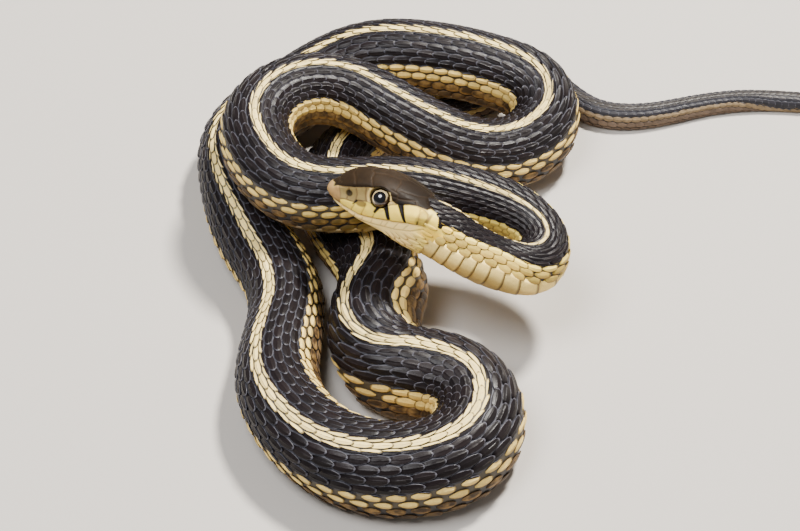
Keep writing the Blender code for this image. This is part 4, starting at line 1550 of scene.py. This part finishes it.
def make_eye(name, sign):
    """A ball with its line along its own Z, turned to look out of the socket."""
    points = []
    for row in range(1, EYE_ROWS):
        polar = math.pi * row / EYE_ROWS
        for k in range(EYE_SEGMENTS):
            turn = 2 * math.pi * k / EYE_SEGMENTS
            flat = math.sin(polar)
            out = EYE_FLATNESS * math.cos(polar)
            points.append((flat * math.cos(turn), flat * math.sin(turn), out))
    points += [(0, 0, EYE_FLATNESS), (0, 0, -EYE_FLATNESS)]
    faces = grid_faces(0, EYE_ROWS - 1, EYE_SEGMENTS)
    faces = [face[::-1] for face in faces]
    top = len(points) - 2
    last = (EYE_ROWS - 2) * EYE_SEGMENTS
    for k in range(EYE_SEGMENTS):
        after = (k + 1) % EYE_SEGMENTS
        faces.append((top, k, after))
        faces.append((top + 1, last + after, last + k))
    local = np.array(points) * EYE_RADIUS
    own_up = np.array([0.0, -math.sin(EYE_TURN_UP), math.cos(EYE_TURN_UP)])
    own_up -= own_up @ eye_way * eye_way
    own_up /= np.linalg.norm(own_up)
    own_back = np.cross(own_up, eye_way)
    along_side_up = local @ np.stack([own_back, own_up, eye_way])
    centre = np.array(EYE_PLACE)
    spots = along_side_up + centre
    world_points = place(spots[:, 0], spots[:, 1] * sign, spots[:, 2])
    mesh = bpy.data.meshes.new(name)
    if sign < 0:
        faces = [face[::-1] for face in faces]
    mesh.from_pydata((world_points * MM).tolist(), [], faces)
    mesh.update()
    mesh.shade_smooth()
    shares = local / EYE_RADIUS
    keep_numbers(mesh, {"eye_back": shares[:, 0], "eye_up": shares[:, 1], "eye_out": shares[:, 2]})
    return in_scene(name, mesh)


left_eye = make_eye("left_eye", 1)
right_eye = make_eye("right_eye", -1)
print("eyes", left_eye.dimensions[:])

# %% [markdown]
# ## Paint
#
# The colours are built from nodes, so they need no pictures and stay sharp at any size. Short
# helper words come first. Then each effect that more than one material uses is made once as a
# node group: the snake's stripes, the throat's yellow, and the fine grain of dry skin. The
# materials that use them follow.


# %% Short words for nodes
def node(tree, kind, inputs=None, **settings):
    """A node with its settings made, and its inputs set or linked."""
    made = tree.nodes.new(kind)
    for key, value in settings.items():
        setattr(made, key, value)
    for key, value in (inputs or {}).items():
        if isinstance(value, bpy.types.NodeSocket):
            tree.links.new(value, made.inputs[key])
        else:
            made.inputs[key].default_value = value
    return made


def reckon(tree, operation, a, b=0.0, c=0.0):
    return node(tree, "ShaderNodeMath", {0: a, 1: b, 2: c}, operation=operation).outputs[0]


def times(tree, a, b):
    return reckon(tree, "MULTIPLY", a, b)


def minus(tree, a, b):
    return reckon(tree, "SUBTRACT", a, b)


def scaled(tree, value, factor, added):
    """The value times a factor, with a number added."""
    return reckon(tree, "MULTIPLY_ADD", value, factor, added)


def step_up(tree, value, low, high):
    """0 below low, 1 above high, and a smooth rise between them."""
    made = node(tree, "ShaderNodeMapRange", {"Value": value, "From Min": low, "From Max": high},
                interpolation_type="SMOOTHSTEP")
    return made.outputs[0]


print("words for numbers: reckon, times, minus, scaled, step_up")


# %% Short words for colours and textures
def colour(red, green, blue):
    return (red, green, blue, 1.0)


def stain_over(tree, amount, below, above):
    """The colour above laid over the colour below by an amount."""
    made = node(tree, "ShaderNodeMix", {0: amount, 6: below, 7: above}, data_type="RGBA")
    return made.outputs[2]


def shaded_by(tree, paint, tone):
    """The colour made lighter or darker by a tone."""
    made = node(tree, "ShaderNodeMix", {0: 1.0, 6: paint, 7: tone}, data_type="RGBA",
                blend_type="MULTIPLY")
    return made.outputs[2]


def read(tree, name):
    """A number that the mesh carries at each point."""
    return node(tree, "ShaderNodeAttribute", attribute_name=name).outputs["Fac"]


def speckle(tree, size, detail=2.0, roughness=0.5):
    """Even noise from 0 to 1, its spots about size millimetres across."""
    where = node(tree, "ShaderNodeTexCoord").outputs["Object"]
    made = node(tree, "ShaderNodeTexNoise",
                {"Vector": where, "Scale": 1000.0 / size, "Detail": detail, "Roughness": roughness})
    return made.outputs[0]


def bumped(tree, shader, height, strength, depth):
    """Fine relief on a shader, from a height."""
    relief = {"Height": height, "Strength": strength, "Distance": depth}
    tree.links.new(node(tree, "ShaderNodeBump", relief).outputs[0], shader.inputs["Normal"])


print("words for colours: colour, stain_over, shaded_by, read, speckle, bumped")


# %% New groups and materials
def new_group(name, inputs, outputs):
    """A node group with named sockets: returns its tree, its inputs and its end node."""
    tree = bpy.data.node_groups.new(name, "ShaderNodeTree")
    for label, kind in inputs:
        tree.interface.new_socket(name=label, in_out="INPUT", socket_type=kind)
    for label, kind in outputs:
        tree.interface.new_socket(name=label, in_out="OUTPUT", socket_type=kind)
    return tree, tree.nodes.new("NodeGroupInput").outputs, tree.nodes.new("NodeGroupOutput")


def new_material(name):
    material = bpy.data.materials.new(name)
    material.use_nodes = True
    return material, material.node_tree, material.node_tree.nodes["Principled BSDF"]


def place_group(tree, group, inputs):
    return node(tree, "ShaderNodeGroup", inputs, node_tree=group).outputs


def tell(material):
    print("material", material.name, "has", len(material.node_tree.nodes), "nodes")


print("words for new things: new_group, new_material, place_group, tell")


# %% [markdown]
# A garter snake is dark with three pale lines: one on the spine and one low on each side. The
# lines could be drawn along the body as smooth bands, but on the animal each scale is mostly one
# colour, so the edge of a stripe follows the scales. The group gets the place round the body
# counted in rows, shifts it a little for each scale by the scale's own number, and then decides
# between dark and pale.

# %% The stripes, as a group: sockets and noise
FLOAT = "NodeSocketFloat"
COLOUR = "NodeSocketColor"
stripes, given, result = new_group(
    "snake_stripes",
    [("Row", FLOAT), ("Own Row", FLOAT), ("Run", FLOAT), ("Seed", FLOAT), ("Along", FLOAT)],
    [("Color", COLOUR), ("Pale", FLOAT)],
)
mottle = speckle(stripes, 1.1, 4.0, 0.6)
fleck = speckle(stripes, 0.25, 3.0, 0.6)
blots = speckle(stripes, 2.6, 3.0, 0.55)
jitter = scaled(stripes, given["Seed"], 0.22, -0.11)
jitter = reckon(stripes, "ADD", jitter, scaled(stripes, given["Along"], 0.34, -0.17))
row_here = reckon(stripes, "ADD", given["Row"], scaled(stripes, mottle, 0.3, -0.15))
tail_share = step_up(stripes, given["Run"], 505.0, 560.0)
print("group", stripes.name, "takes", ", ".join(given.keys()[:5]))

# %% The back stripe
# it starts as a hair line on the nape, widens through the hairpin, is broadest from the left
# side on, and fades on the tail
NAPE = (17.0, 18.0)
WIDENS = (48.0, 80.0)
BROADENS = (290.0, 345.0)
FADES = (535.0, 565.0)
back_half = scaled(stripes, step_up(stripes, given["Run"], *WIDENS), 0.24, 0.5)
back_half = scaled(stripes, step_up(stripes, given["Run"], *BROADENS), 0.18, back_half)
back_edge = minus(stripes, row_here, reckon(stripes, "ADD", back_half, jitter))
back_stripe = minus(stripes, 1.0, step_up(stripes, back_edge, -0.05, 0.07))
back_stripe = times(stripes, back_stripe, step_up(stripes, given["Run"], *NAPE))
faded = scaled(stripes, step_up(stripes, given["Run"], *FADES), -0.93, 1.0)
back_stripe = times(stripes, back_stripe, faded)
print("the back stripe is broadest from", BROADENS[1], "mm on")

# %% The side stripes
# two rows on the body, and all of the flank on the neck
NECK_ENDS = (75.0, 108.0)
SIDE_TOP = 5.66
neck_share = minus(stripes, 1.0, step_up(stripes, given["Run"], *NECK_ENDS))
side_top = scaled(stripes, neck_share, 0.84, SIDE_TOP)
side_top = scaled(stripes, tail_share, 0.9, side_top)
side_edge = minus(stripes, row_here, reckon(stripes, "ADD", side_top, jitter))
side_stripe = step_up(stripes, side_edge, -0.06, 0.06)


def rows_from(row):
    """1 for scales of this row and those below it."""
    return step_up(stripes, minus(stripes, given["Own Row"], row - 0.5), -0.05, 0.05)


low_edge = rows_from(8)
lowest_row = rows_from(9)
belly = rows_from(10)
print("the side stripe's upper edge is at row", SIDE_TOP)

# %% Dark and cream of the back
dark = stain_over(stripes, mottle, colour(0.0042, 0.0031, 0.0036), colour(0.0105, 0.008, 0.009))
dark = stain_over(stripes, times(stripes, given["Seed"], 0.4), dark, colour(0.0125, 0.008, 0.008))
dark = stain_over(stripes, times(stripes, tail_share, 0.75), dark, colour(0.03, 0.029, 0.034))
cream = stain_over(stripes, mottle, colour(0.72, 0.51, 0.18), colour(0.96, 0.78, 0.33))
cream = stain_over(stripes, times(stripes, tail_share, 0.85), cream, colour(0.15, 0.12, 0.065))
print("the back's dark and cream are mixed")

# %% Yellow of the sides, warmer behind the jaw
yellow = stain_over(stripes, mottle, colour(0.68, 0.44, 0.1), colour(0.93, 0.72, 0.25))
neck_yellow = stain_over(stripes, mottle, colour(0.8, 0.55, 0.09), colour(0.98, 0.79, 0.2))
yellow = stain_over(stripes, neck_share, yellow, neck_yellow)
behind_jaw = minus(stripes, 1.0, step_up(stripes, given["Run"], 25.0, 29.0))
yellow = stain_over(stripes, behind_jaw, yellow, colour(0.97, 0.66, 0.09))
print("the sides' yellow is mixed")

# %% Tan of the lowest rows, and the belly
tan = stain_over(stripes, step_up(stripes, blots, 0.42, 0.66), colour(0.03, 0.018, 0.01),
                 colour(0.3, 0.18, 0.06))
tan = stain_over(stripes, times(stripes, mottle, 0.4), tan, colour(0.11, 0.068, 0.032))
tan = stain_over(stripes, times(stripes, lowest_row, 0.5), tan, colour(0.05, 0.036, 0.026))
neck_tan = stain_over(stripes, mottle, colour(0.38, 0.26, 0.045), colour(0.66, 0.47, 0.11))
tan = stain_over(stripes, neck_share, tan, neck_tan)
belly_body = stain_over(stripes, blots, colour(0.08, 0.056, 0.036), colour(0.36, 0.26, 0.15))
belly_neck = stain_over(stripes, mottle, colour(0.78, 0.54, 0.15), colour(0.94, 0.72, 0.25))
belly_tone = stain_over(stripes, neck_share, belly_body, belly_neck)
tail_low = stain_over(stripes, mottle, colour(0.085, 0.058, 0.042), colour(0.21, 0.15, 0.11))
low_tail = times(stripes, tail_share, 0.9)
print("the belly's tones are mixed")

# %% Laying them over one another
side_tone = stain_over(stripes, low_tail, yellow, tail_low)
lowest_tone = stain_over(stripes, low_tail, tan, tail_low)
belly_tone = stain_over(stripes, low_tail, belly_tone, tail_low)
paint = stain_over(stripes, back_stripe, dark, cream)
paint = stain_over(stripes, side_stripe, paint, side_tone)
paint = stain_over(stripes, times(stripes, low_edge, side_stripe), paint, lowest_tone)
paint = stain_over(stripes, belly, paint, belly_tone)
pale_mask = reckon(stripes, "MAXIMUM", back_stripe, side_stripe)
flecked = times(stripes, step_up(stripes, fleck, 0.6, 0.72), 0.2)
paint = stain_over(stripes, times(stripes, flecked, pale_mask), paint, colour(0.14, 0.09, 0.04))
stripes.links.new(paint, result.inputs["Color"])
stripes.links.new(pale_mask, result.inputs["Pale"])
print("group", stripes.name, "has", len(stripes.nodes), "nodes")

# %% [markdown]
# The chin is cream, the throat yellower, and a warm spot lies behind the jaw. The smooth skin of
# the head and the small scales on it both need these tones, and they must match where they meet,
# so they are one group with two inputs.

# %% The throat's cream and yellow, as a group
throat_tones, given, result = new_group(
    "throat_tones", [("Band", FLOAT), ("Warm", FLOAT)], [("Color", COLOUR)]
)
cloud = speckle(throat_tones, 2.2, 5.0, 0.6)
chin = stain_over(throat_tones, cloud, colour(0.84, 0.55, 0.17), colour(0.98, 0.77, 0.3))
yellow = stain_over(throat_tones, cloud, colour(0.86, 0.6, 0.11), colour(0.98, 0.81, 0.22))
warm = stain_over(throat_tones, cloud, colour(0.95, 0.52, 0.03), colour(0.98, 0.68, 0.07))
tone = stain_over(throat_tones, given["Band"], chin, yellow)
tone = stain_over(throat_tones, times(throat_tones, given["Warm"], 0.8), tone, warm)
throat_tones.links.new(tone, result.inputs["Color"])
print("group", throat_tones.name, "has", len(throat_tones.nodes), "nodes")

# %% [markdown]
# Snake skin is dry and very finely grained. The grain breaks up the shine and gives each scale
# its own shade. A painted noise alone would look like dust, so a pattern of small cells is mixed
# with it. Its size is an input: finer on the head, coarser on the back.

# %% The grain of dry skin, as a group
grain, given, result = new_group(
    "skin_grain", [("Size", FLOAT), ("Seed", FLOAT)], [("Height", FLOAT), ("Shade", FLOAT)]
)
where = node(grain, "ShaderNodeTexCoord").outputs["Object"]
scale = reckon(grain, "DIVIDE", 1000.0, given["Size"])
at = {"Vector": where, "Scale": scale}
fine = node(grain, "ShaderNodeTexNoise", {**at, "Detail": 4.0}).outputs[0]
cells = node(grain, "ShaderNodeTexVoronoi", at).outputs["Distance"]
height = scaled(grain, cells, 0.5, times(grain, fine, 0.5))
grain.links.new(height, result.inputs["Height"])
shade = scaled(grain, fine, 0.3, times(grain, given["Seed"], 0.35))
grain.links.new(shade, result.inputs["Shade"])
print("group", grain.name, "has", len(grain.nodes), "nodes")

# %% [markdown]
# ## The scales' finish
#
# Each scale is dull and horny, with a fine outline. Pale scales have a dark edge, partly their own
# outline and partly painted shade between the scales, and black ones a greyish one, partly their
# own pale edge and partly a painted highlight where light catches the thin rim. The lower side of
# each pale flank scale and the skirt under each scale's edge get painted shade too. The mesh knows
# how near each point is to the scale's own rim, so the outline is a stain by that number and needs
# no picture. On the neck the rims lie close together, so they are stained less there, and so are
# the tail's.


# %% Material of the scales
def outlined(tree, body, marks, rim, own_row, run):
    """The scale's colour with its rim: dark round pale scales, partly painted shade, and greyish
    round black ones, partly a painted highlight.
    """
    on_neck_less = scaled(tree, step_up(tree, run, 60.0, 130.0), 0.5, 0.22)
    dark_edge = times(tree, step_up(tree, rim, 0.7, 0.98), on_neck_less)
    # the greyish rim of black scales: partly their own pale edge, partly a painted highlight on the
    # thin rim
    dark_rim = stain_over(tree, dark_edge, body, colour(0.1, 0.098, 0.118))
    flank = step_up(tree, own_row, 5.0, 5.5)
    on_tail_less = scaled(tree, step_up(tree, run, 505.0, 550.0), -0.85, 1.0)
    pale_edge = times(tree, step_up(tree, rim, 0.58, 0.96), on_tail_less)
    # the dark rim of pale scales: partly their own dark outline, partly painted shade between the
    # scales
    rim_tone = stain_over(tree, flank, colour(0.03, 0.019, 0.013), colour(0.11, 0.06, 0.022))
    pale_rim = stain_over(tree, times(tree, pale_edge, 0.85), body, rim_tone)
    return stain_over(tree, marks["Pale"], dark_rim, pale_rim)


def painted_shade_below(tree, marks, row, own_row, run):
    """The markings, with painted shade on the lower side of each flank scale, which turns it
    browner.
    """
    flank = step_up(tree, own_row, 5.0, 5.5)
    lower_side = step_up(tree, minus(tree, row, own_row), 0.0, 0.42)
    on_tail_less = scaled(tree, step_up(tree, run, 505.0, 550.0), -0.85, 1.0)
    shaded = times(tree, times(tree, times(tree, lower_side, flank), 0.5), on_tail_less)
    shaded = times(tree, shaded, marks["Pale"])
    # painted shade: brown laid over the lower side of each pale flank scale
    return stain_over(tree, shaded, marks["Color"], colour(0.42, 0.23, 0.06))


def paint_scales():
    material, tree, shader = new_material("keeled_scales")
    seed = read(tree, "seed")
    row = read(tree, "row")
    own_row = read(tree, "own_row")
    run = read(tree, "run")
    marks = place_group(tree, stripes, {"Row": row, "Own Row": own_row, "Run": run, "Seed": seed,
                                        "Along": read(tree, "along")})
    dust = place_group(tree, grain, {"Size": 0.35, "Seed": seed})
    body = painted_shade_below(tree, marks, row, own_row, run)
    base = outlined(tree, body, marks, read(tree, "rim"), own_row, run)
    base = shaded_by(tree, base, scaled(tree, dust["Shade"], 0.9, 0.68))
    # painted shade: the skirt and underside of each scale darken towards the skin below its edge
    base = stain_over(tree, read(tree, "under"), base, colour(0.012, 0.01, 0.011))
    tree.links.new(base, shader.inputs["Base Color"])
    rough = scaled(tree, dust["Height"], 0.26, 0.24)
    rough = reckon(tree, "ADD", rough, times(tree, marks["Pale"], 0.12))
    tree.links.new(rough, shader.inputs["Roughness"])
    bumped(tree, shader, dust["Height"], 0.4, 0.00004)
    shader.inputs["Specular IOR Level"].default_value = 0.15
    return material


scale_material = paint_scales()
for piece in scale_coat + belly_coat:
    piece.data.materials.append(scale_material)
tell(scale_material)

# %% [markdown]
# The throat's scales are smooth and soft, with faint brown outlines. They take the throat's own
# tones, so that they differ from the skin beside them only by their relief and their edges.


# %% Material of the throat's scales
def paint_throat():
    material, tree, shader = new_material("throat_scales")
    dust = place_group(tree, grain, {"Size": 0.25, "Seed": read(tree, "seed")})
    throat = place_group(tree, throat_tones, {"Band": read(tree, "band"),
                                              "Warm": read(tree, "warm")})
    edge = times(tree, step_up(tree, read(tree, "rim"), 0.45, 0.95), 0.85)
    paint = stain_over(tree, edge, throat["Color"], colour(0.24, 0.11, 0.035))
    paint = shaded_by(tree, paint, scaled(tree, dust["Shade"], 0.4, 0.82))
    # painted shade: the skirt and underside of each throat scale darken towards the skin below its
    # edge
    paint = stain_over(tree, read(tree, "under"), paint, colour(0.25, 0.13, 0.06))
    tree.links.new(paint, shader.inputs["Base Color"])
    shader.inputs["Roughness"].default_value = 0.42
    shader.inputs["Specular IOR Level"].default_value = 0.3
    return material


throat_material = paint_throat()
throat_scales.data.materials.append(throat_material)
tell(throat_material)

# %% [markdown]
# Between the scales the soft skin shows: blue-grey on the back and nearly black low on the
# sides. It could be one plain colour, as so little of it is seen, but the stripes are laid very
# faintly into it, so that skin and scales carry the same markings.


# %% Material of the skin under the scales
def paint_under_skin():
    material, tree, shader = new_material("skin_between_scales")
    row = read(tree, "row")
    marks = place_group(tree, stripes, {"Row": row, "Own Row": row, "Run": read(tree, "run"),
                                        "Seed": 0.5, "Along": 0.5})
    folds = place_group(tree, grain, {"Size": 0.3})
    between = stain_over(tree, folds["Height"], colour(0.02, 0.02, 0.026),
                         colour(0.085, 0.085, 0.105))
    between = stain_over(tree, step_up(tree, row, 5.3, 6.0), between, colour(0.016, 0.014, 0.015))
    base = stain_over(tree, 0.05, between, marks["Color"])
    tree.links.new(base, shader.inputs["Base Color"])
    shader.inputs["Roughness"].default_value = 0.6
    bumped(tree, shader, folds["Height"], 0.5, 0.00006)
    return material


under_skin = paint_under_skin()
tell(under_skin)

# %% [markdown]
# The head's shields are smooth, with a soft satin shine. Their colours are laid over one another
# by the stains that the mesh carries, from the broadest to the finest: cream, lips, cheek, snout,
# crown, smudges, seams with painted shade along the mouth, and last the black ink, which also
# paints shade in the eye's socket and the nostril. A little light passes into the skin, as in life.


# %% Colours of the head
def head_colours(tree):
    cloud = speckle(tree, 2.2, 5.0, 0.6)
    spots = times(tree, step_up(tree, speckle(tree, 0.3, 3.0, 0.65), 0.5, 0.75), 0.35)
    throat = place_group(tree, throat_tones, {"Band": read(tree, "band"),
                                              "Warm": read(tree, "warm")})
    lip = stain_over(tree, cloud, colour(0.86, 0.56, 0.06), colour(0.99, 0.78, 0.14))
    cheek = stain_over(tree, cloud, colour(0.18, 0.12, 0.04), colour(0.46, 0.34, 0.13))
    brown = stain_over(tree, cloud, colour(0.009, 0.0055, 0.003), colour(0.027, 0.016, 0.008))
    brown = stain_over(tree, spots, brown, colour(0.012, 0.008, 0.006))
    rear = times(tree, step_up(tree, read(tree, "run"), 13.5, 17.0), 0.5)
    brown = stain_over(tree, rear, brown, colour(0.004, 0.0024, 0.0014))
    snout = stain_over(tree, cloud, colour(0.28, 0.155, 0.055), colour(0.42, 0.26, 0.1))
    paint = throat["Color"]
    for stain, strength, above in (
        ("lip", 1.0, lip),
        ("cheek", 1.0, cheek),
        ("snout", 1.0, snout),
        ("pale", 0.85, colour(0.76, 0.54, 0.21)),
        ("crown", 1.0, brown),
        ("smudge", 0.8, colour(0.1, 0.055, 0.022)),
        # seams: dark lines between shields, and painted shade along the mouth
        ("seam", 0.6, colour(0.15, 0.085, 0.04)),
        ("ink_and_shade", 1.0, colour(0.008, 0.006, 0.006)),
    ):
        paint = stain_over(tree, times(tree, read(tree, stain), strength), paint, above)
    return paint


# %% Material of the head
def paint_head():
    material, tree, shader = new_material("head_shields")
    dust = place_group(tree, grain, {"Size": 0.22})
    tree.links.new(head_colours(tree), shader.inputs["Base Color"])
    tree.links.new(scaled(tree, dust["Height"], 0.3, 0.36), shader.inputs["Roughness"])
    shader.inputs["Specular IOR Level"].default_value = 0.1
    bumped(tree, shader, dust["Height"], 0.25, 0.00003)
    shader.inputs["Subsurface Weight"].default_value = 0.06
    shader.inputs["Subsurface Radius"].default_value = (0.0008, 0.0004, 0.0002)
    return material


head_material = paint_head()
skin.data.materials.append(head_material)
skin.data.materials.append(under_skin)
skin.data.polygons.foreach_set("material_index", skin_slots)
skin.data.update()
tell(head_material)

# %% [markdown]
# The eye is dark brown with a large round pupil and a golden ring round its upper part. The ring
# is thin, so it is drawn by numbers, from how far out a point lies, and not by mesh. Over it all
# lies a clear coat for the wet look.


# %% Material of the eyes
def paint_eye():
    material, tree, shader = new_material("wet_eye")
    back = read(tree, "eye_back")
    up = read(tree, "eye_up")
    out = read(tree, "eye_out")
    reach = reckon(tree, "ADD", times(tree, back, back), times(tree, up, up))
    reach = reckon(tree, "SQRT", reach)
    fibre = speckle(tree, 0.12, 3.0, 0.6)
    iris = stain_over(tree, fibre, colour(0.02, 0.009, 0.005), colour(0.085, 0.04, 0.018))
    gold = stain_over(tree, fibre, colour(0.85, 0.56, 0.22), colour(1.0, 0.84, 0.48))
    upper = reckon(tree, "MAXIMUM", step_up(tree, up, -0.25, 0.25), step_up(tree, back, 0.2, 0.5))
    ring_wide = scaled(tree, step_up(tree, up, 0.1, 0.6), 0.11, 0.715)
    past_ring = step_up(tree, minus(tree, reach, ring_wide), -0.02, 0.03)
    ring = times(tree, step_up(tree, reach, 0.62, 0.65), minus(tree, 1.0, past_ring))
    paint = stain_over(tree, times(tree, ring, upper), iris, gold)
    pupil = minus(tree, 1.0, step_up(tree, reach, 0.61, 0.64))
    paint = stain_over(tree, pupil, paint, colour(0.002, 0.002, 0.003))
    # painted shade: the eyeball's edge, where it sinks into the socket, and its back are black
    inward = step_up(tree, times(tree, out, -1.0), -0.2, 0.0)
    rim = reckon(tree, "MAXIMUM", step_up(tree, reach, 0.9, 0.97), inward)
    paint = stain_over(tree, rim, paint, colour(0.006, 0.005, 0.005))
    tree.links.new(paint, shader.inputs["Base Color"])
    shader.inputs["Roughness"].default_value = 0.12
    shader.inputs["Coat Weight"].default_value = 1.0
    shader.inputs["Coat Roughness"].default_value = 0.02
    return material


eye_material = paint_eye()
for eye in (left_eye, right_eye):
    eye.data.materials.append(eye_material)
tell(eye_material)

# %% [markdown]
# The floor is one plain dull tone. It only takes the shadows, and it isn't part of the model.

# %% Material of the floor
floor_material, _, floor_shader = new_material("pale_floor")
floor_shader.inputs["Base Color"].default_value = colour(0.45, 0.42, 0.385)
floor_shader.inputs["Roughness"].default_value = 0.85
floor.data.materials.append(floor_material)
tell(floor_material)

# %% [markdown]
# ## Last: what stands for what
#
# Every piece rides on the part's one body. The skin takes the place of all the solid flesh,
# and the eyes take the place of the two balls in the head.

# %% Pieces and the part
flesh = [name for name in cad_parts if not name.startswith("eye_")]
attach(skin, "root")
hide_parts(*flesh)
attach(throat_scales, "root")
for piece in scale_coat + belly_coat:
    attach(piece, "root")
for eye, solid in ((left_eye, "eye_left"), (right_eye, "eye_right")):
    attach(eye, "root")
    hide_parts(solid)
print("the skin takes the place of", len(flesh), "solids")
